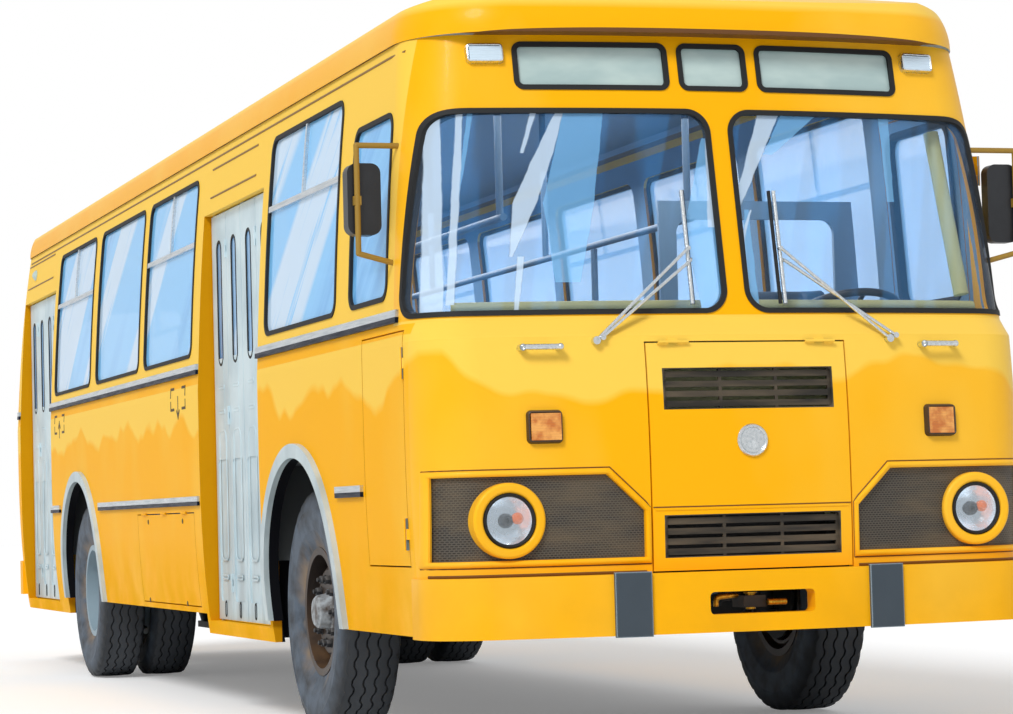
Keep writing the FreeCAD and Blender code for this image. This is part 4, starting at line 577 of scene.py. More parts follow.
for mask, opacity in ((pale, 0.8), (inner_side(tree, place), 0.05)):
    alpha = add(tree, "Mix", {0: mask, 2: alpha, 3: opacity})
# Slate bands are painted shade; mid and pale streaks are painted reflections.
plug(shader, Alpha=alpha, Base_Color=coats(tree, SCREEN_BLUE, (slate, "#3C5066"), (product(tree, mid, 0.9), "#7DBBEC"),
                                           (product(tree, pale, 0.92), "#CBE0F4")))
print("windscreen glass ready")

# %% [markdown]
# The route sign windows have a pale board behind them, so they are drawn as backed glass that isn't seen through.
# %% Sign glass
SIGN_GLASS, tree, shader, place = finish("backed_sign_glass", "#AFC4C2", 0.12, Coat_Weight=0.4)
lighter = patches(tree, place, 0.28, 0.4, 0.66, stretch=(1, 1, 2.5))
plug(shader, Base_Color=coats(tree, "#AAC2C1", (lighter, "#BFD4D0")))
print("sign glass ready")

# %% [markdown]
# Lamp lenses are pressed glass or acrylic: amber at the turn lamps, clear pale blue at the markers high up and
# red at the tail. One node of the CAD holds them all, so the finish picks the colour by place.
# %% Lamp lenses
LENS, tree, shader, place = finish("pressed_lamp_lenses", "#D9812A", 0.14, Coat_Weight=0.6, Coat_Roughness=0.03)
x, y, z = add(tree, "SeparateXYZ", [place], out=None)
# Paler amber blotches are painted highlights in the lenses.
lens_highlight = patches(tree, place, 0.05, 0.4, 0.6)
high_up = add(tree, "MapRange", [z, 2.0, 2.1])
at_tail = add(tree, "MapRange", [y, 4.0, 4.1])
ribs = add(tree, "TexWave", {"Vector": place, "Scale": 30.0}, out=1, bands_direction="Z")
plug(shader, Base_Color=coats(tree, "#C96F1E", (lens_highlight, "#F0A850"), (high_up, "#CFE3F2"), (at_tail, "#A5231B")),
     Normal=add(tree, "Bump", {"Height": ribs, "Distance": 0.0015, "Strength": 0.6}))
print("lenses ready")

# %% [markdown]
# The lamp recesses are closed with expanded steel mesh in worn grey paint. The real mesh has 8 mm openings; they are
# drawn 14 mm wide so that they show, and painted dark as shade from the recess behind.
# %% Grille mesh
MESH_PITCH = 14 * MM
MESH_WIRE = 2.8 * MM
MESH, tree, shader, place = finish("expanded_steel_mesh", "#47433D", 0.55, Metallic=0.2)
x, y, z = add(tree, "SeparateXYZ", [place], out=None)
# The openings are painted dark: painted shade from the recess behind the mesh.
holes = add(tree, "TexBrick", {"Vector": add(tree, "CombineXYZ", [x, z]), "Scale": 1.0, "Mortar Size": MESH_WIRE,
                               "Mortar Smooth": 0.4, "Brick Width": MESH_PITCH, "Row Height": MESH_PITCH * 0.6,
                               "Color1": "#1C1A18", "Color2": "#2A2723", "Mortar": "#57524A"}, out=None)
rubbed = product(tree, patches(tree, place, 0.16, 0.42, 0.66, detail=4.0, stretch=(0.4, 1, 1.6)), 0.5)
plug(shader, Base_Color=coats(tree, holes[0], (rubbed, "#7A6A50")),
     Normal=add(tree, "Bump", {"Height": holes[1], "Distance": 0.003, "Strength": 0.9}))
print("mesh ready")

# %% [markdown]
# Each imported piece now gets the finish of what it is. The cab's dashboard and covers are one node with the wall
# behind the driver, so its green enamel turns to the lining's colour further back.
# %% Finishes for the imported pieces


def dress(material, *names):
    for name in names:
        data = NODES[name].data
        data.materials.clear()
        data.materials.append(material)


CAB = dusty("cab_enamel_pale_green", "#C6CC98", "#DCDDB4", 0.45)
tree, shader, place, green = reopen(CAB)
in_cab = add(tree, "Math", [add(tree, "SeparateXYZ", [place], out="Y"), -4.60], operation="LESS_THAN")
plug(shader, Base_Color=coats(tree, LINING, (in_cab, green)))

LEAVES = [f"{door}_leaf_{k}" for door in ("front_door", "rear_door") for k in (1, 2, 3, 4)]
dress(SIDE_BODY, "right_side", "left_side", "front_hatch", "side_flap", "driver_door")
dress(END_BODY, "front_panel", "windscreen_frame", "rear_wall")
dress(ROOF_BODY, "roof")
dress(PLAIN_BODY, "bumpers", "headlamp_bezels")
dress(MIRROR_ARM, "mirror_arms")
dress(DOOR, *LEAVES)
dress(ARCH, "arch_trims")
dress(TRIM, "bright_trim")
dress(CHROME, "wipers", "grab_handles")
dress(SEAT_TUBE, "handrails", "seat_frames")
dress(CHASSIS, "chassis", "front_axle", "rear_axle", "underbody", "knuckle_left", "knuckle_right", "tie_rod")
dress(CASTING, "drivetrain")
dress(GUARD, "bumper_guards", "air_springs")
dress(SEAL, "window_seals")
dress(SIGN_GLASS, "sign_glass")
dress(LENS, "small_lamps")
dress(MESH, "lamp_grilles")
dress(MIRROR_SHELL, "mirror_heads", "steering_wheel")
dress(FLOOR, "floor")
dress(CAB, "cab_fittings")
dress(SIDE_GLASS, "window_glass")
dress(SCREEN_GLASS, "screen_glass")
for side in ("left", "right"):
    dress(TYRE["front"], "front_tyre_" + side)
    dress(TYRE["rear"], "rear_tyres_" + side)
    for axle in AXLES:
        dress(WHEELS[axle], f"{axle}_wheel_{side}")
print("packed pieces dressed:", len(NODES))

# %% [markdown]
# The hood is amber, but its louvres are dark. The two grille openings are known boxes, so the same amber finish
# is copied and turned dark inside them.
# %% Hood with dark louvres
HOOD_GRILLES = [(0.345, 1.290, 1.446), (0.357, 0.738, 0.897)]
HOOD = END_BODY.copy()
HOOD.name = "hood_enamel_with_louvres"
tree, shader, place, amber = reopen(HOOD)
x, y, z = add(tree, "SeparateXYZ", [place], out=None)
from_middle = add(tree, "Math", [x], operation="ABSOLUTE")
openings = [product(tree, add(tree, "Math", [from_middle, half], operation="LESS_THAN"), between(tree, z, low, high))
            for half, low, high in HOOD_GRILLES]
dark = coats(tree, "#35322E", (patches(tree, place, 0.12, 0.4, 0.65, stretch=(0.3, 1, 2)), "#5E5446"))
plug(shader, Base_Color=coats(tree, amber, (highest(tree, *openings), dark)))
dress(HOOD, "hood")
print("hood ready")

# %% [markdown]
# The studio is a white floor under a white world, with one broad key light from the bus's right front and above.
# The camera sees white, but only a part of that white lights the paint, so that colours render about as they are
# written. Little daylight gets in through the tinted panes, so a wide weak lamp under the ceiling stands for it.
# %% Floor and world
FILL, MIRRORED = 0.52, 0.75
FLOOR_REACH = 120
world = bpy.data.worlds.new("studio")
bpy.context.scene.world = world
world.use_nodes = True
sky = world.node_tree
sky.nodes.clear()
rays = add(sky, "LightPath", out=None)
strength = add(sky, "MapRange", [rays["Is Glossy Ray"], 0.0, 1.0, FILL, MIRRORED])
straight = highest(sky, rays["Is Camera Ray"], rays["Is Transmission Ray"])
strength = add(sky, "Mix", {0: straight, 2: strength, 3: 1.0})
add(sky, "OutputWorld", [add(sky, "Background", {"Color": "#FFFFFF", "Strength": strength})], out=None)

floor_mesh = bpy.data.meshes.new("studio_floor")
FLOOR_CORNERS = [(x * FLOOR_REACH, y * FLOOR_REACH, -0.002) for x, y in ((-1, -1), (1, -1), (1, 1), (-1, 1))]
floor_mesh.from_pydata(FLOOR_CORNERS, [], [(0, 1, 2, 3)])
floor = bpy.data.objects.new("studio_floor", floor_mesh)
bpy.context.scene.collection.objects.link(floor)
paper, tree, shader, place = finish("white_paper_floor", "#F4F5F6", 0.9)
seen = add(tree, "LightPath", out="Is Camera Ray")
plug(shader, Emission_Color="#FFFFFF", Emission_Strength=product(tree, seen, 0.2))
floor_mesh.materials.append(paper)
print("floor and world ready")

# %% [markdown]
# The key light is a sun with a wide disc, so its shadow is soft. The saloon's lamp is a long rectangle.
# %% Lights
KEY_FROM = Vector((-0.55, -0.62, 0.72))
key = bpy.data.objects.new("key", bpy.data.lights.new("key", "SUN"))
key.data.energy = 1.9
key.data.angle = math.radians(18)
key.rotation_euler = KEY_FROM.to_track_quat("Z", "Y").to_euler()
saloon = bpy.data.objects.new("saloon_light", bpy.data.lights.new("saloon_light", "AREA"))
saloon.data.shape = "RECTANGLE"
saloon.data.size, saloon.data.size_y = 1.6, 8.5
saloon.data.energy = 150
saloon.location = at(0, 5.2, 2.62)
for lamp in (key, saloon):
    bpy.context.scene.collection.objects.link(lamp)
bpy.context.scene.view_settings.view_transform = "Standard"
print("lights ready")

# %% [markdown]
# Many fittings are turned parts, bars or loops, so a small class gathers such forms: `lathe` turns a profile round
# an axis, `tube` runs a round bar along a path, and `sweep_loop` runs a section round a closed outline. `make`
# turns them into a smooth shaded object that rides on a body.
# %% Mesh builders
SMOOTH_ANGLE = math.radians(38)


class Shape:
    """Vertices and faces gathered from several forms, to make one piece."""

    def __init__(self):
        self.verts, self.faces = [], []

    def grid(self, rows, close_rows=True, close_columns=True, caps=False):
        """Skins a grid of points: each row is a section, and neighbours in a row and between rows are joined."""
        base, n = len(self.verts), len(rows[0])
        for row in rows:
            self.verts += [Vector(p) for p in row]
        for i in range(len(rows) if close_rows else len(rows) - 1):
            a, b = base + i * n, base + (i + 1) % len(rows) * n
            for j in range(n if close_columns else n - 1):
                k = (j + 1) % n
                self.faces.append((a + j, a + k, b + k, b + j))
        if caps:
            self.faces.append(tuple(range(base + n - 1, base - 1, -1)))
            self.faces.append(tuple(range(base + (len(rows) - 1) * n, base + len(rows) * n)))

    def lathe(self, profile, centre, axis, steps=32, closed=False):
        """Turns (along, radius) points round an axis. Open profiles start and end on the axis or stay open."""
        axis = axis.normalized()
        side = axis.orthogonal().normalized()
        other = axis.cross(side)
        rows = []
        for k in range(steps):
            turn = 2 * math.pi * k / steps
            out = side * math.cos(turn) + other * math.sin(turn)
            rows.append([centre + axis * a + out * max(r, 1e-5) for a, r in profile])
        self.grid(rows, close_columns=closed)

    def tube(self, points, radius, steps=10, smooth=0):
        """A round bar through points; smooth adds rounded corners."""
        path = rounded_path(points, smooth) if smooth else [Vector(p) for p in points]
        rows, side = [], None
        turns = [2 * math.pi * j / steps for j in range(steps)]
        for k, p in enumerate(path):
            ahead = (path[min(k + 1, len(path) - 1)] - path[max(k - 1, 0)]).normalized()
            side = (side - ahead * side.dot(ahead) if side else ahead.orthogonal()).normalized()
            up = ahead.cross(side)
            rows.append([p + (side * math.cos(turn) + up * math.sin(turn)) * radius for turn in turns])
        self.grid(rows, close_rows=False, caps=True)

    def sweep_loop(self, outline, section):
        """Runs a closed section round a closed outline. outline(grow) gives the loop's points moved outward by
        grow, each with its outward-facing normal; section is a list of (grow, height) points."""
        loops = [[point + normal * height for point, normal in outline(grow)] for grow, height in section]
        self.grid(list(zip(*loops)))

    def make(self, name, material, body, slot):
        mesh = bpy.data.meshes.new(name)
        mesh.from_pydata(self.verts, [], self.faces)
        mesh.validate()
        work = bmesh.new()
        work.from_mesh(mesh)
        bmesh.ops.recalc_face_normals(work, faces=work.faces)
        for edge in work.edges:
            edge.smooth = len(edge.link_faces) == 2 and edge.calc_face_angle(0.0) < SMOOTH_ANGLE
        for face in work.faces:
            face.smooth = True
        work.to_mesh(mesh)
        work.free()
        mesh.materials.append(material)
        made = bpy.data.objects.new(name, mesh)
        bpy.context.scene.collection.objects.link(made)
        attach(made, body)
        return made


def rounded_path(points, radius, steps=5):
    """A path whose corners are replaced by short curves."""
    points = [Vector(p) for p in points]
    path = [points[0]]
    for a, b, c in zip(points, points[1:], points[2:]):
        reach = min(radius, (a - b).length / 2, (c - b).length / 2)
        start, end = b + (a - b).normalized() * reach, b + (c - b).normalized() * reach
        for k in range(steps + 1):
            t = k / steps
            path.append(start * (1 - t) ** 2 + b * 2 * t * (1 - t) + end * t * t)
    return path + [points[-1]]


def rounded_rectangle(width, height, radius, corner_steps=6):
    """Points of a rounded rectangle about (0, 0), anticlockwise."""
    radius = max(min(radius, width / 2, height / 2), 1e-4)
    points = []
    for k, (sx, sy) in enumerate(((1, 1), (-1, 1), (-1, -1), (1, -1))):
        for j in range(corner_steps + 1):
            turn = math.pi / 2 * (k + j / corner_steps)
            points.append((sx * (width / 2 - radius) + radius * math.cos(turn),
                           sy * (height / 2 - radius) + radius * math.sin(turn)))
    return points


print("mesh builders ready")

# %% [markdown]
# Each door leaf has one tall glass with round ends, held by a rubber that laps over the metal on both sides. The
# rubber's section is a low rounded ridge, and the glass sits in its middle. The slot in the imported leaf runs
# further down than the glass, so a plate in the leaf's own enamel closes its lower part.
# %% Upright windows
LEAF_FACE_X = -1.165
LEAF_THICK = 0.030
SLOT_WIDTH, SLOT_LOW, SLOT_HIGH = 0.096, 1.330, 2.290
LEAF_HEAD = 2.3


def leaf_middle(leaf):
    """How far back the middle of a leaf lies, from the flat metal of its head."""
    flat = [v.co.y for v in NODES[leaf].data.vertices if abs(v.co.x - LEAF_FACE_X) < 1e-4 and v.co.z > LEAF_HEAD]
    return (min(flat) + max(flat)) / 2 + HALF_LENGTH


LEAF_PLACES = {leaf: leaf_middle(leaf) for leaf in LEAVES}


def upright_outline(x, s, z, width, height, radius):
    """Outline in the plane of a side panel, for sweep_loop."""
    def outline(grow):
        return [(at(x, s + a, z + b), Vector((-1, 0, 0)))
                for a, b in rounded_rectangle(width + 2 * grow, height + 2 * grow, radius + grow, 8)]
    return outline


def ridge(lap, inward, proud, depth):
    """Section of a glazing rubber: a rounded ridge over both faces of a panel that is `depth` thick."""
    return [(lap, 0.0), (lap * 0.7, proud * 0.8), (0.0, proud), (-inward * 0.8, proud * 0.6), (-inward, 0.0),
            (-inward, -depth), (-inward * 0.8, -depth - proud * 0.6), (0.0, -depth - proud),
            (lap * 0.7, -depth - proud * 0.8), (lap, -depth), (0.001, -depth), (0.001, 0.0)]


def upright_pane(shape, x, s, z, width, height, radius, thick):
    loop = rounded_rectangle(width, height, radius, 8)
    shape.grid([[at(x + t, s + a, z + b) for a, b in loop] for t in (0, thick)], close_rows=False, caps=True)


print("leaf middles", [round(s, 3) for s in LEAF_PLACES.values()])

# %% [markdown]
# The plate that closes the slot stands a little proud of both faces, and the pane ends inside the rubber.
# %% Door leaf windows
GLASS_LOW = 1.685
GLASS_MIDDLE, GLASS_HEIGHT = (GLASS_LOW + SLOT_HIGH) / 2, SLOT_HIGH - GLASS_LOW
LEAF_RIDGE = ridge(0.008, 0.007, 0.003, LEAF_THICK)
PANE_GAP, PANE_DEPTH, PANE_THICK = 0.012, 0.003, 0.005
PLATE_LOW, PLATE_HIGH = SLOT_LOW - 0.010, GLASS_LOW + 0.030
PLATE_PROUD = 0.0008
DOOR_GLASS = window_glass("tinted_door_glass", blue="#7FAFDA", pale="#CFE2F4", deep="#4A7AAE", alpha=0.85,
                          streak_alpha=0.92, pitch=0.25)
for leaf, s in LEAF_PLACES.items():
    plate, rubber, pane = Shape(), Shape(), Shape()
    upright_pane(plate, LEAF_FACE_X - PLATE_PROUD, s, (PLATE_LOW + PLATE_HIGH) / 2, SLOT_WIDTH + 0.012,
                 PLATE_HIGH - PLATE_LOW, 0.020, LEAF_THICK + 2 * PLATE_PROUD)
    outline = upright_outline(LEAF_FACE_X, s, GLASS_MIDDLE, SLOT_WIDTH, GLASS_HEIGHT, SLOT_WIDTH / 2 - 0.001)
    rubber.sweep_loop(outline, LEAF_RIDGE)
    upright_pane(pane, LEAF_FACE_X + PANE_DEPTH, s, GLASS_MIDDLE, SLOT_WIDTH - PANE_GAP, GLASS_HEIGHT - PANE_GAP,
                 0.041, PANE_THICK)
    plate.make(leaf + "_slot_plate", DOOR, leaf, "door_paint")
    rubber.make(leaf + "_rubber", SEAL, leaf, "seal_rubber")
    pane.make(leaf + "_glass", DOOR_GLASS, leaf, "glass")
print("door glazing", len(LEAVES))

# %% [markdown]
# The driver's door is glazed in the same way, but its rubber follows the skin's own slope. The skin is sampled by
# rays beside the opening, which is the same narrow window as the one on the other side.
# %% Driver's door window
WINDOW_S, WINDOW_Z = (0.660, 1.240), (1.745, 2.480)
WINDOW_R = 0.075
CLEAR = 0.03
DOOR_WALL = 0.045
DOOR_PANE = (0.009, 0.015)


def driver_window(grow):
    """Outline on the sloping skin of the driver's door, which is straight enough to be taken from three rays."""
    (s0, s1), (z0, z1) = WINDOW_S, WINDOW_Z
    origin, behind, above = (side_skin("driver_door", 1, s, z)[0] for s, z in (
        (s0 - CLEAR, z0 - CLEAR), (s1 + CLEAR, z0 - CLEAR), (s0 - CLEAR, z1 + CLEAR)))
    along = (behind - origin) / (s1 - s0 + 2 * CLEAR)
    up = (above - origin) / (z1 - z0 + 2 * CLEAR)
    middle = origin + along * ((s1 - s0) / 2 + CLEAR) + up * ((z1 - z0) / 2 + CLEAR)
    out = along.cross(up).normalized()
    return [(middle + along * a + up * b, out)
            for a, b in rounded_rectangle(s1 - s0 + 2 * grow, z1 - z0 + 2 * grow, WINDOW_R + grow, 8)]


rubber, pane = Shape(), Shape()
rubber.sweep_loop(driver_window, ridge(0.012, 0.020, 0.006, DOOR_WALL))
pane.grid([[p - n * depth for p, n in driver_window(-PANE_GAP)] for depth in DOOR_PANE], close_rows=False, caps=True)
rubber.make("driver_door_rubber", SEAL, "driver_door", "seal_rubber")
pane.make("driver_door_glass", SIDE_GLASS, "driver_door", "glass")
print("driver's door glazed")

# %% [markdown]
# A road tyre is a bulged ring with a stiff tread. The tread has four grooves between five ribs, and the grooves
# zigzag, so it is built as a grid whose rows go once round the wheel and step sideways and back. The sidewall
# carries plain raised rings.
# %% Tyres
TYRE_R, TYRE_HALF, BEAD_R, BEAD_HALF = 0.520, 0.135, 0.2575, 0.088
TYRE_RING = [(-BEAD_HALF, BEAD_R), (-BEAD_HALF - 0.006, BEAD_R + 0.018), (-0.108, 0.312), (-0.124, 0.345),
             (-0.1275, 0.352), (-0.1265, 0.357), (-0.133, 0.385), (-0.135, 0.410), (-0.1335, 0.432), (-0.136, 0.437),
             (-0.1345, 0.443), (-0.128, 0.470), (-0.120, 0.492)]
SHOULDER = (0.098, TYRE_R - 0.0032)
GROOVE, GROOVE_DEEP, GROOVE_LEAN, ZIG = 0.009, 0.011, 0.001, 0.006
GROOVE_PLACES = (-0.072, -0.024, 0.024, 0.072)
CROWN = 0.5
TREAD_STEPS = 144
TWIN_WIDTH = 0.3


def tyre_section(step):
    """Half-open section from one bead over the tread to the other; the grooves step sideways with each zigzag."""
    zig = ZIG if step % 4 < 2 else -ZIG
    notch = 0.010 if step % 4 == 0 else 0.0
    wall = TYRE_RING + [(-0.117 + notch, 0.504), (-0.110 + notch, 0.5145), (-SHOULDER[0], SHOULDER[1])]
    tread = []
    for middle in GROOVE_PLACES:
        a, b = middle + zig - GROOVE / 2, middle + zig + GROOVE / 2
        crown = TYRE_R - CROWN * middle ** 2
        floor = crown - GROOVE_DEEP
        tread += [(a, crown), (a + GROOVE_LEAN, floor), (b - GROOVE_LEAN, floor), (b, crown)]
    return wall + tread + [(-x, r) for x, r in reversed(wall)]


def tyre_rows(centre):
    rows = []
    for step in range(TREAD_STEPS):
        turn = 2 * math.pi * step / TREAD_STEPS
        out = Vector((0, math.sin(turn), math.cos(turn)))
        rows.append([centre + Vector((x, 0, 0)) + out * r for x, r in tyre_section(step)])
    return rows


def make_tyres(node, body, axle):
    """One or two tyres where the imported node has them."""
    low, high = (corner.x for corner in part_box(node))
    places = [(low + high) / 2] if high - low < TWIN_WIDTH else [low + TYRE_HALF, high - TYRE_HALF]
    s, z = AXLES[axle]
    tyres = Shape()
    for x in places:
        tyres.grid(tyre_rows(at(x, s, z)))
    made = tyres.make(node + "_treaded", TYRE[axle], body, "tyre_rubber")
    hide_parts(node)


for side, name in SIDES:
    make_tyres("front_tyre_" + name, "front_wheel_" + name, "front")
    make_tyres("rear_tyres_" + name, "rear_wheels_" + name, "rear")
print("tyres made")

# %% [markdown]
# Ten studs hold each wheel. A wheel nut is a hexagon with a chamfered top on a round collar, and the stud's end
# stands out of it. Nuts are too small to model in CAD but plain to see, so they are joined into one mesh a wheel.
# %% Wheel nuts
NUTS = 10
NUT_CIRCLE = 0.1425
NUT_R = 0.019
NUT_ROWS = ((0.005, NUT_R), (0.022, NUT_R), (0.025, NUT_R * 0.86))
COLLAR = [(-0.001, 0.021), (0.004, 0.021), (0.005, 0.019), (0.005, 0.0)]
STUD = [(0.0, 0.010), (0.036, 0.010), (0.038, 0.008), (0.038, 0.0)]
NUT_FACE = {"front": 1.1195, "rear": 0.9443}
WHEEL_BODY = {"front": "front_wheel_", "rear": "rear_wheels_"}


def hexagon(radius):
    return [(radius * math.cos(math.pi / 3 * k), radius * math.sin(math.pi / 3 * k)) for k in range(6)]


for axle, (s, z) in AXLES.items():
    for side, name in SIDES:
        nuts, outward = Shape(), Vector((side, 0, 0))
        for k in range(NUTS):
            turn = 2 * math.pi * (k + 0.5) / NUTS
            centre = at(side * NUT_FACE[axle], s + NUT_CIRCLE * math.sin(turn), z + NUT_CIRCLE * math.cos(turn))
            nuts.lathe(COLLAR, centre, outward, 16)
            nuts.grid([[centre + outward * h + Vector((0, a, b)) for a, b in hexagon(r)] for h, r in NUT_ROWS],
                      close_rows=False, caps=True)
            nuts.lathe(STUD, centre, outward, 12)
        nuts.make(f"{axle}_wheel_nuts_{name}", CASTING, WHEEL_BODY[axle] + name, "wheel_paint")
print("wheel nuts made")

# %% [markdown]
# Small fittings sit on curved metal, so each needs the local plane of the skin. `plane_at` takes three rays on a
# node and gives the middle, the two directions along the skin and the way out, and `flat_outline` draws a rounded
# rectangle there for `sweep_loop`.
# %% Local planes


def plane_at(node, direction, start, right_way, up_way, span=0.03):
    """Middle, right, up and out of the skin where a ray from start meets it."""
    middle = skin(node, start, direction)[0]
    side_point = skin(node, start + right_way * span, direction)[0]
    top_point = skin(node, start + up_way * span, direction)[0]
    right = (side_point - middle).normalized()
    up = (top_point - middle).normalized()
    out = right.cross(up).normalized()
    return middle, right, up, out if out.dot(direction) < 0 else -out


def front_plane(node, x, z):
    return plane_at(node, Vector((0, 1, 0)), at(x, -0.5, z), Vector((1, 0, 0)), Vector((0, 0, 1)))


def side_plane(node, side, s, z):
    return plane_at(node, Vector((-side, 0, 0)), at(side * 2, s, z), Vector((0, 1, 0)), Vector((0, 0, 1)))


def flat_outline(plane, width, height, radius):
    middle, right, up, out = plane

    def outline(grow):
        return [(middle + right * a + up * b, out)
                for a, b in rounded_rectangle(width + 2 * grow, height + 2 * grow, radius + grow, 5)]
    return outline


print("local planes ready")

# %% [markdown]
# The headlamps are the eyes of the bus. Behind a domed, fluted glass lies a spun and aluminised bowl with a bulb
# and its shade, which is black as a painted dark reflection, and a black rubber rim holds the glass in the painted
# ring. A small amber side bulb in one corner of the bowl is a painted orange reflection; it gives no light.
# %% Lamp finishes and profiles
BOWL = bright_metal("aluminised_reflector", "#F2F7FB", 0.12, "#A9BED0", size=0.045)
# A bowl gathers the sky's light; the small emission stands in for that.
plug(reopen(BOWL)[1], Emission_Color="#DCEBF8", Emission_Strength=0.4)
LAMP_GLASS, tree, shader, place = finish("fluted_lamp_glass", "#E6F2FA", 0.04, IOR=1.5, Alpha=0.08, Coat_Weight=0.5)
flutes = add(tree, "TexWave", {"Vector": place, "Scale": 24.0}, out=1, bands_direction="X")
plug(shader, Normal=add(tree, "Bump", {"Height": flutes, "Distance": 0.001, "Strength": 0.4}))
# The amber side bulb is a painted reflection, standing for the orange reflection in the bowl.
AMBER_REFLECTION_BULB, *_ = finish("amber_bulb_painted_reflection", "#E06A12", 0.25, Coat_Weight=0.4)

LAMP_X, LAMP_Z = 0.948, 0.892
LAMP_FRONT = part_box("headlamp_bezels")[0].y
LENS_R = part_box("headlamp_lenses")[1].x - LAMP_X
BOWL_R = LENS_R - 0.012
BOWL_DEPTH, DOME_DEPTH, GLASS_THICK = 0.075, 0.012, 0.004
RIM = [(0.018, LENS_R + 0.001), (0.006, LENS_R - 0.001), (0.001, LENS_R - 0.006), (0.003, LENS_R - 0.012),
       (0.012, LENS_R - 0.014), (0.022, LENS_R - 0.012)]
SHADE = [(0.038, 0.010), (0.038, 0.020), (0.048, 0.027), (0.066, 0.028), (0.070, 0.020), (0.090, 0.020), (0.090, 0.0)]
SIDE_BULB = [(-0.022, 0.0), (-0.019, 0.013), (-0.008, 0.022), (0.008, 0.022), (0.019, 0.012), (0.022, 0.0)]
SIDE_BULB_PLACE = Vector((0.042, 0.048, 0.008))


def parabola(start, depth, steps):
    """A shallow bowl's profile from the rim at start to its middle."""
    return [(start + depth * (1 - (k / steps) ** 2), BOWL_R * k / steps) for k in range(steps, -1, -1)]


DISH = parabola(0.020, BOWL_DEPTH, 10)
INSIDE_OF_GLASS = [(a + GLASS_THICK, r) for a, r in parabola(DOME_DEPTH, -DOME_DEPTH, 8)]
DOME = parabola(DOME_DEPTH, -DOME_DEPTH, 8)[::-1] + INSIDE_OF_GLASS
print("glass radius", round(LENS_R, 4))

# %% [markdown]
# Every part of a headlamp is turned about the same axis, except the side bulb, which sits beside it.
# %% Headlamps
# The bulb shade is black: a painted dark reflection in the middle of the bowl.
HEADLAMP = [("rim", RIM, 48, SEAL, "seal_rubber"), ("bowl", DISH, 48, BOWL, "chrome"),
            ("glass", DOME, 48, LAMP_GLASS, "headlamp_glass"), ("bulb_shade", SHADE, 24, MIRROR_SHELL, "chrome"),
            ("side_bulb", SIDE_BULB, 16, AMBER_REFLECTION_BULB, "lamp_glass")]
for side, name in SIDES:
    for part, profile, steps, material, slot in HEADLAMP:
        centre = Vector((side * LAMP_X, LAMP_FRONT, LAMP_Z)) + (SIDE_BULB_PLACE if part == "side_bulb" else Vector())
        turned = Shape()
        turned.lathe(profile, centre, Vector((0, 1, 0)), steps, closed=part == "rim")
        made = turned.make(f"headlamp_{part}_{name}", material, "body", slot)
        if part == "glass":
            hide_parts("headlamp_lenses")
print("headlamps made")

# %% [markdown]
# The turn lamps and the markers have cast housings round their lenses. Each housing is a frame swept round the
# lens on the skin's own plane; the turn lamps' are brown-black and the markers' are chromed.
# %% Lamp housings
HOUSING = [(-0.0005, -0.003), (-0.0005, 0.020), (0.003, 0.0235), (0.007, 0.022), (0.010, 0.014), (0.013, -0.003)]
LENS_CORNER = 0.006
DARK_HOUSING = dusty("cast_lamp_housing", "#3A2A1C", "#6A5238", 0.45)
FRONT_LAMPS = [("turn", "front_panel", 0.803, 1.235, 0.112, 0.100, DARK_HOUSING, "mirror_plastic"),
               ("marker", "windscreen_frame", 0.900, 2.668, 0.124, 0.056, CHROME, "chrome")]

for side, name in SIDES:
    for lamp, node, x, z, width, height, material, slot in FRONT_LAMPS:
        housing = Shape()
        housing.sweep_loop(flat_outline(front_plane(node, side * x, z), width, height, LENS_CORNER), HOUSING)
        housing.make(f"{lamp}_lamp_housing_{name}", material, "body", slot)
print("lamp housings made")

# %% [markdown]
# A chromed ring with a plain dished middle sits on the hood. It carries no sign.
# %% Plain hood roundel
ROUNDEL_Z = 1.170
ROUNDEL = [(-0.002, 0.061), (0.006, 0.062), (0.011, 0.058), (0.012, 0.053), (0.009, 0.048), (0.004, 0.046),
           (0.003, 0.030), (0.005, 0.016), (0.0065, 0.0)]
roundel = Shape()
middle, *_, out_way = front_plane("hood", 0.0, ROUNDEL_Z)
roundel.lathe(ROUNDEL, middle, out_way, 48)
roundel.make("hood_roundel", CHROME, "hood", "chrome")
print("roundel made")

# %% [markdown]
# A tow hook shows in the bumper's slot: a forged pin through the eye of the frame with a bent handle, in worn
# brass-coloured paint.
# %% Tow pin in the bumper
TOW_EYE = at(0.0, 0.130, 0.566)
TOW_PIN = [(-0.030, 0.0), (-0.030, 0.019), (0.028, 0.019), (0.029, 0.026), (0.034, 0.026), (0.035, 0.0)]
TOW_HANDLE = [(-0.150, 0.105, 0.552), (-0.150, 0.100, 0.585), (-0.098, 0.100, 0.590), (-0.060, 0.120, 0.590)]
TOW_BAR = [(0.045, 0.070, 0.562), (0.120, 0.072, 0.562)]
tow = Shape()
tow.lathe(TOW_PIN, TOW_EYE, Vector((0, 0, 1)), 20)
tow.tube([at(*place) for place in TOW_HANDLE], 0.011, smooth=0.02)
tow.tube([at(*place) for place in TOW_BAR], 0.012)
tow.make("tow_pin", BRASS, "body", "steel")
print("tow pin made")

# %% [markdown]
# A raised bead of the same sheet frames each lamp recess. Its outline is a polygon with one slanted corner, grown
# outward with mitred corners, and every point is laid on the front panel's skin by a ray, so the bead follows the
# panel round its corner.
# %% Lamp recess outline
RECESS = [(0.432, 0.745), (1.210, 0.745), (1.210, 1.055), (0.574, 1.055), (0.432, 0.918)]
RECESS_REACH = (0.412, 1.228)
RECESS_STEP = 0.03


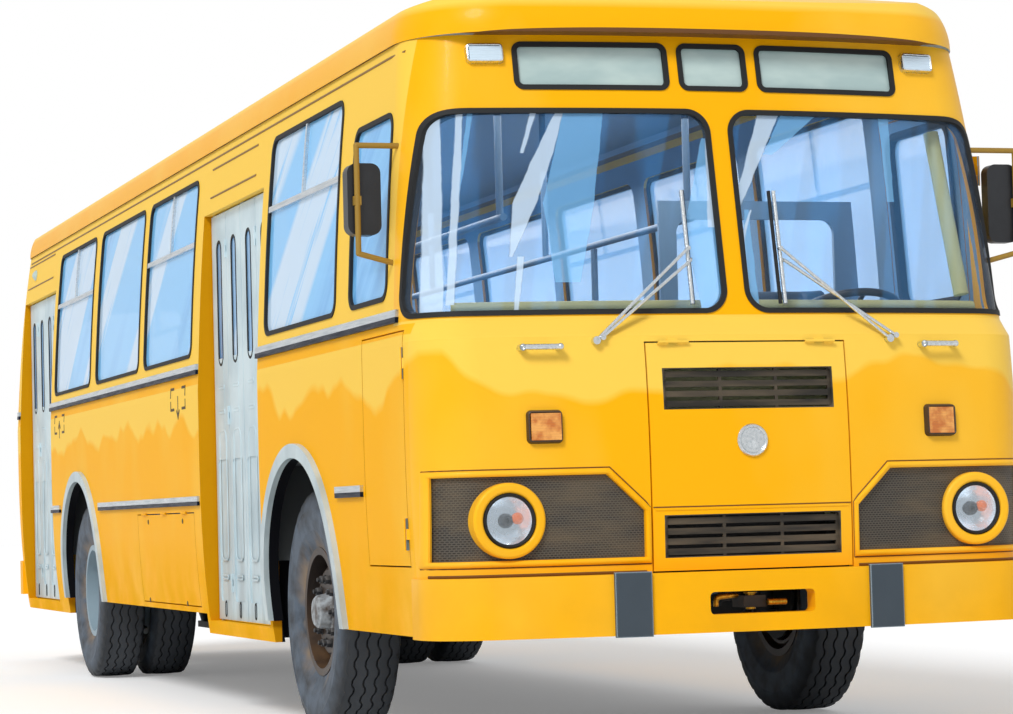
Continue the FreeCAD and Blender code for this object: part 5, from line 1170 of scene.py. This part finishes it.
def grown(polygon, grow):
    """An anticlockwise polygon moved outward, with its corners mitred."""
    moved = []
    for k, here in enumerate(polygon):
        before, after = Vector(polygon[k - 1]), Vector(polygon[(k + 1) % len(polygon)])
        here = Vector(here)
        first, second = (here - before).normalized(), (after - here).normalized()
        outs = Vector((first.y + second.y, -first.x - second.x))
        moved.append(here + outs * (grow / (1 + first.dot(second))))
    return moved


def recess_outline(side):
    steps = [max(2, round(math.dist(a, b) / RECESS_STEP)) for a, b in zip(RECESS, RECESS[1:] + RECESS[:1])]

    def outline(grow):
        corners, loop = grown(RECESS, grow), []
        for k, count in enumerate(steps):
            for j in range(count):
                x, z = corners[k].lerp(corners[(k + 1) % len(corners)], j / count)
                x = min(max(x, RECESS_REACH[0]), RECESS_REACH[1])
                loop.append(front_skin("front_panel", side * x, z))
        return loop
    return outline


print("recess outline ready")

# %% [markdown]
# A dark brown line of painted shade follows the outside of each bead, and two more lie in the joint between the front
# panel and the bumper. A low crease crosses the hood at the height of the slant's lower end, with a dark line of
# painted shade over it.
# %% Beads, painted shade lines and the hood's crease
BEAD = [(0.001, -0.012), (0.002, 0.003), (0.006, 0.007), (0.012, 0.008), (0.016, 0.011), (0.020, 0.009), (0.023, 0.003),
        (0.024, -0.008)]
SHADE_LINE_GROW, SHADE_LINE_R = 0.026, 0.0025
BUMPER_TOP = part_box("bumpers")[1].z
BUMPER_GAPS = [(0.727, range(43, 116, 6), 0.003), (BUMPER_TOP + 0.006, range(43, 122, 3), 0.006)]
CREASE_Z, CREASE_R, CREASE_SUNK, SHADE_Z = 0.918, 0.006, Vector((0, 0.002, 0)), 0.927
# Brown lines of painted shade, laid round the beads, in the bumper joint and over the hood's crease.
SHADE_LINE_PAINT = dusty("painted_shade_line_brown", "#6E430F", "#8A6424", 0.6)


def across_front(node, z, centimetres, side=1):
    """Points of the front skin at one height."""
    return [front_skin(node, side * x / 100, z)[0] for x in centimetres]


for side, name in SIDES:
    bead, line, gap = Shape(), Shape(), Shape()
    bead.sweep_loop(recess_outline(side), BEAD)
    bead.make("lamp_recess_bead_" + name, PLAIN_BODY, "body", "body_paint")
    loop = [point for point, out in recess_outline(side)(SHADE_LINE_GROW)]
    line.tube(loop + loop[:1], SHADE_LINE_R, 6)
    line.make("lamp_recess_shade_line_" + name, SHADE_LINE_PAINT, "body", "seal_rubber")
    for z, centimetres, radius in BUMPER_GAPS:
        gap.tube(across_front("front_panel", z, centimetres, side), radius, 6)
    gap.make("bumper_gap_line_" + name, SHADE_LINE_PAINT, "body", "seal_rubber")

crease, shade = Shape(), Shape()
crease.tube([point + CREASE_SUNK for point in across_front("hood", CREASE_Z, range(-39, 40, 3))], CREASE_R, 8)
crease.make("hood_crease", PLAIN_BODY, "hood", "body_paint")
shade.tube(across_front("hood", SHADE_Z, range(-40, 41, 4)), SHADE_LINE_R, 6)
shade.make("hood_crease_shade", SHADE_LINE_PAINT, "hood", "seal_rubber")
print("recess beads and sealant made")

# %% [markdown]
# The sides carry small strips: two drip strips over each passenger door and a drip channel along the roof's edge,
# all thin bars laid on the skin in dark ochre, which is painted shade. A dome lamp lights the rear door, and
# quarter-turn fasteners hold the flap.
# %% Strips and fasteners on the sides
DRIP_SHADE_PAINT = dusty("drip_strip_painted_shade", "#8A6424", "#A98239", 0.5)
MARK_PAINT = dusty("mark_paint_brown", "#4A3714", "#6B5426", 0.6)
STRIP_R, STRIP_STEP = 0.005, 0.15
DRIP_CHANNEL = (0.62, 10.05, 2.703)
STRIPS = [(-1, "right_side", 3.04, 4.03, 2.51), (-1, "right_side", 3.04, 4.03, 2.65),
          (-1, "right_side", 8.90, 10.10, 2.53), (-1, "right_side", 8.90, 10.10, 2.68),
          (-1, "right_side", *DRIP_CHANNEL), (1, "left_side", *DRIP_CHANNEL)]
DOME_PLACE, FASTENER_PLACES = (9.66, 2.605), ((4.665, 0.505), (5.656, 0.505), (4.62, 0.925), (5.536, 0.925))
DOME_LAMP = [(-0.002, 0.036), (0.004, 0.036), (0.010, 0.031), (0.020, 0.022), (0.026, 0.010), (0.027, 0.0)]
FASTENER = [(-0.001, 0.013), (0.002, 0.013), (0.0035, 0.009), (0.0035, 0.0)]

strips, dome_lamp, fasteners = Shape(), Shape(), Shape()
for side, node, s0, s1, z in STRIPS:
    count = round((s1 - s0) / STRIP_STEP)
    strips.tube([side_skin(node, side, s0 + (s1 - s0) * k / count, z)[0] for k in range(count + 1)], STRIP_R, 8)
# The strips are dark ochre: painted shade along them.
strips.make("drip_strips", DRIP_SHADE_PAINT, "body", "body_paint")
middle, *_, out_way = side_plane("right_side", -1, *DOME_PLACE)
dome_lamp.lathe(DOME_LAMP, middle, out_way, 24)
dome_lamp.make("door_dome_lamp", SIGN_GLASS, "body", "lamp_glass")
for s, z in FASTENER_PLACES:
    middle, *_, out_way = side_plane("side_flap", -1, s, z)
    fasteners.lathe(FASTENER, middle, out_way, 16)
fasteners.make("flap_fasteners", MARK_PAINT, "side_flap", "trim_paint")
print("strips and fasteners made")

# %% [markdown]
# Two marks are painted on the right side: an arrow between square brackets, pointing down at one and up at the
# other. Their strokes are plates one millimetre thick.
# %% Painted marks
STROKE, STROKE_THICK = 0.014, 0.001
BRACKET_REACH, BRACKET_ARM = 0.22, 0.36
BARB_ACROSS, BARB_DOWN = 0.032, 0.034


def bar(shape, s0, z0, s1, z1):
    """A painted stroke from one point of the right side to another."""
    middle, along, up, out = side_plane("right_side", -1, (s0 + s1) / 2, (z0 + z1) / 2)
    run = along * (s1 - s0) + up * (z1 - z0)
    half = run / 2 + run.normalized() * STROKE / 2
    cross = run.cross(out).normalized() * STROKE / 2
    corners = [middle - half - cross, middle + half - cross, middle + half + cross, middle - half + cross]
    shape.grid([[c + out * h for c in corners] for h in (-STROKE_THICK, STROKE_THICK)], close_rows=False, caps=True)


def bracket_mark(name, s0, s1, z0, z1, tail, head):
    """A square bracket on each side and an arrow from tail to head between them."""
    mark, arm = Shape(), (z1 - z0) * BRACKET_ARM
    for s, inward in ((s0, 1), (s1, -1)):
        reach = s + inward * (s1 - s0) * BRACKET_REACH
        for stroke in ((s, z0, s, z0 + arm), (s, z1 - arm, s, z1), (s, z1, reach, z1), (s, z0, reach, z0)):
            bar(mark, *stroke)
    middle, back = (s0 + s1) / 2, math.copysign(BARB_DOWN, tail - head)
    bar(mark, middle, tail, middle, head)
    for spread in (-BARB_ACROSS, BARB_ACROSS):
        bar(mark, middle, head, middle + spread, head + back)
    mark.make(name, MARK_PAINT, "body", "body_paint")


bracket_mark("side_mark_down", 4.475, 4.840, 1.497, 1.603, 1.556, 1.452)
bracket_mark("side_mark_up", 8.215, 8.575, 1.503, 1.609, 1.475, 1.570)
print("marks painted")

# %% [markdown]
# The leaves are pressed sheet: a long rounded panel below the glass, short stiffening ribs and a small dark vent at
# the foot. The pressings are low beads that only catch the light.
# %% Pressings on the door leaves
PRESSING = [(-0.006, -0.001), (-0.004, 0.0022), (0.0, 0.003), (0.004, 0.0022), (0.006, -0.001)]
PANEL_AND_RIBS = [(1.045, 0.150, 0.630, 0.045)] + [(z, 0.110, 0.016, 0.008) for z in (0.646, 1.454, 1.574)]
VENT = (0.492, 0.030, 0.070, 0.014)
for leaf, s in LEAF_PLACES.items():
    pressed, vent = Shape(), Shape()
    for form in PANEL_AND_RIBS:
        pressed.sweep_loop(upright_outline(LEAF_FACE_X, s, *form), PRESSING)
    vent.sweep_loop(upright_outline(LEAF_FACE_X, s, *VENT), PRESSING)
    pressed.make(leaf + "_pressings", DOOR, leaf, "door_paint")
    vent.make(leaf + "_vent", SEAL, leaf, "seal_rubber")
print("door pressings made")

# %% [markdown]
# Each wiper carries a black rubber beside its steel spine, close to the glass. The blades stand upright at rest.
# %% Wiper rubbers
BLADE_X, BLADE_HEIGHTS, BLADE_R, BLADE_OFF_GLASS = 0.178, (1.690, 1.80, 1.91, 2.02, 2.130), 0.0075, 0.013
for side, name in SIDES:
    blade = Shape()
    touched = [front_skin("screen_glass", side * BLADE_X, z) for z in BLADE_HEIGHTS]
    blade.tube([point + out * BLADE_OFF_GLASS for point, out in touched], BLADE_R, 8)
    blade.make("wiper_rubber_" + name, SEAL, "body", "seal_rubber")
print("wiper rubbers made")

# %% [markdown]
# Behind the glass a soft vinyl roll closes the gap between windscreen and dashboard, and another one covers the
# driver's front pillar. Both run at one distance behind the glass.
# %% Vinyl rolls behind the windscreen
VINYL = dusty("cab_roll_vinyl_pale_green", "#C9D2A0", "#E0C85A", 0.5)
SILL_ROLL = [[(side * x / 100, 1.692) for x in range(12, 109, 8)] for side, name in SIDES]
PILLAR_ROLL = [(0.994 + 0.052 * k / 6, 2.40 - 0.66 * k / 6) for k in range(7)]
rolls = Shape()
for places, radius, behind in ((SILL_ROLL[0], 0.022, 0.075), (SILL_ROLL[1], 0.022, 0.075), (PILLAR_ROLL, 0.030, 0.095)):
    rolls.tube([front_skin("screen_glass", x, z)[0] + Vector((0, behind, 0)) for x, z in places], radius)
rolls.make("windscreen_vinyl_rolls", VINYL, "body", "seat_vinyl")
print("vinyl rolls made")

# %% [markdown]
# Each mirror needs its glass on the side that the driver sees. It is a thin silvered plate on the head's rear face.
# %% Mirror glasses
MIRROR_GLASS = bright_metal("silvered_mirror_glass", "#EEF2F4", 0.05, "#DDE3E8", size=0.045)
MIRRORS = {"left": (1.316, 2.121), "right": (-1.336, 2.130)}
PLATE = (0.100, 0.240, 0.022)
PLATE_EDGE = ((0, -0.002), (0, 0.002), (-0.001, 0.003))
for name, (x, z) in MIRRORS.items():
    plane = plane_at("mirror_heads", Vector((0, -1, 0)), at(x, 1.4, z), Vector((1, 0, 0)), Vector((0, 0, 1)))
    outline, plate = flat_outline(plane, *PLATE), Shape()
    rows = [[point + out * height for point, out in outline(grow)] for grow, height in PLATE_EDGE]
    plate.grid(rows, close_rows=False, caps=True)
    plate.make("mirror_glass_" + name, MIRROR_GLASS, "body", "chrome")
print("mirror glasses made")

# %% [markdown]
# Seats are padded vinyl, and padding is best made by letting cloth do the work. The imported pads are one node, so it
# is first taken apart into its cushions and backs.
# %% Places of the seat pads


def connected_parts(mesh):
    """The separate closed forms of a mesh, each as its vertices and faces."""
    work = bmesh.new()
    work.from_mesh(mesh)
    bmesh.ops.remove_doubles(work, verts=work.verts, dist=1e-5)
    work.verts.ensure_lookup_table()
    done, parts = set(), []
    for first in work.verts:
        if first.index in done:
            continue
        done.add(first.index)
        group, fresh = [first], [first]
        while fresh:
            vert = fresh.pop()
            for edge in vert.link_edges:
                other = edge.other_vert(vert)
                if other.index not in done:
                    done.add(other.index)
                    group.append(other)
                    fresh.append(other)
        number = {vert.index: k for k, vert in enumerate(group)}
        faces = sorted({face for vert in group for face in vert.link_faces}, key=lambda face: face.index)
        corners = [tuple(number[vert.index] for vert in face.verts) for face in faces]
        parts.append(([vert.co.copy() for vert in group], corners))
    work.free()
    return parts


def limits(points):
    return [Vector([pick(p[k] for p in points) for k in range(3)]) for pick in (min, max)]


seat_parts = connected_parts(NODES["seat_pads"].data)
print("pads to fill", len(seat_parts))

# %% [markdown]
# One cushion and one back are taken as patterns: each is drawn in by the space the padding may swell, remeshed evenly
# and blown up as cloth, and no point may move further than that space. Sewn channels are pressed in after.
# %% Blowing up and sewing a pad
SWELL = 0.010
VOXEL = 0.015
AIR_PRESSURE, CLOTH_FRAMES = 4, 20
THIN_PAD = 0.15
CHANNEL_DEPTH, CHANNEL_WIDTH, BACK_LEAN = 0.007, 0.012, math.radians(6)


def blown_up(points, faces):
    """Vertices and faces of the padded form of one pad, relative to its middle."""
    low, high = limits(points)
    middle, size = (low + high) / 2, high - low
    drawn_in = [Vector([(p[k] - middle[k]) * (1 - 2 * SWELL / size[k]) for k in range(3)]) for p in points]
    mesh = bpy.data.meshes.new("pad_pattern")
    mesh.from_pydata(drawn_in, [], faces)
    pattern = bpy.data.objects.new("pad_pattern", mesh)
    bpy.context.scene.collection.objects.link(pattern)
    even = pattern.modifiers.new("even", "REMESH")
    even.mode = "VOXEL"
    even.voxel_size = VOXEL
    depsgraph = bpy.context.evaluated_depsgraph_get()
    remeshed = bpy.data.meshes.new_from_object(pattern.evaluated_get(depsgraph))
    pattern.modifiers.clear()
    pattern.data = remeshed
    start = end = [v.co.copy() for v in remeshed.vertices]
    cloth = pattern.modifiers.new("cloth", "CLOTH")
    cloth.settings.use_pressure = True
    cloth.settings.uniform_pressure_force = AIR_PRESSURE
    cloth.settings.effector_weights.gravity = 0
    cloth.point_cache.frame_end = CLOTH_FRAMES
    for frame_number in range(1, CLOTH_FRAMES + 1):
        bpy.context.scene.frame_set(frame_number)
    depsgraph = bpy.context.evaluated_depsgraph_get()
    end = [v.co.copy() for v in pattern.evaluated_get(depsgraph).data.vertices]
    bpy.context.scene.frame_set(1)
    padded = []
    for a, b in zip(start, end):
        move = b - a
        padded.append(a + move * min(1.0, SWELL / max(move.length, 1e-9)))
    shapes = [tuple(p.vertices) for p in remeshed.polygons]
    bpy.data.objects.remove(pattern)
    return padded, shapes, size


def sewn(points, size):
    """Presses a channel between the two places of a bench and two more across its face."""
    pressed = []
    flat = size.z < THIN_PAD
    for p in points:
        depth = CHANNEL_DEPTH * sum(math.exp(-((p.x - x) / CHANNEL_WIDTH) ** 2) for x in (-size.x / 4, 0.0, size.x / 4))
        if flat and p.z > 0:
            p = p - Vector((0, 0, depth))
        elif not flat and p.y < p.z * math.tan(BACK_LEAN):
            p = p + Vector((0, depth, 0))
        pressed.append(p)
    return pressed


print("padding ready, it may swell by", SWELL)

# %% [markdown]
# The finished pads are laid into every place that the CAD holds for them. The widest cushion and back come first and
# are the patterns, and the others are the same pads drawn a little narrower.
# %% Padded seats
SEAT_VINYL = dusty("seat_vinyl_slate", "#3C4C5E", "#58697B", 0.45)


def width_of(pad):
    low, high = limits(pad[0])
    return high.x - low.x


patterns, seats = {}, Shape()
for points, faces in sorted(seat_parts, key=width_of, reverse=True):
    low, high = limits(points)
    middle, own = (low + high) / 2, high - low
    kind = "cushion" if own.z < THIN_PAD else "back"
    if kind not in patterns:
        padded, shapes, size = blown_up(points, faces)
        patterns[kind] = (sewn(padded, size), shapes, size)
    padded, shapes, size = patterns[kind]
    scale = [own[k] / size[k] for k in range(3)]
    base = len(seats.verts)
    seats.verts += [middle + Vector([p[k] * scale[k] for k in range(3)]) for p in padded]
    seats.faces += [tuple(base + v for v in face) for face in shapes]
made = seats.make("seat_pads_sewn", SEAT_VINYL, "body", "seat_vinyl")
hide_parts("seat_pads")
print("seat pads", len(seat_parts), "with", len(seats.faces), "faces")
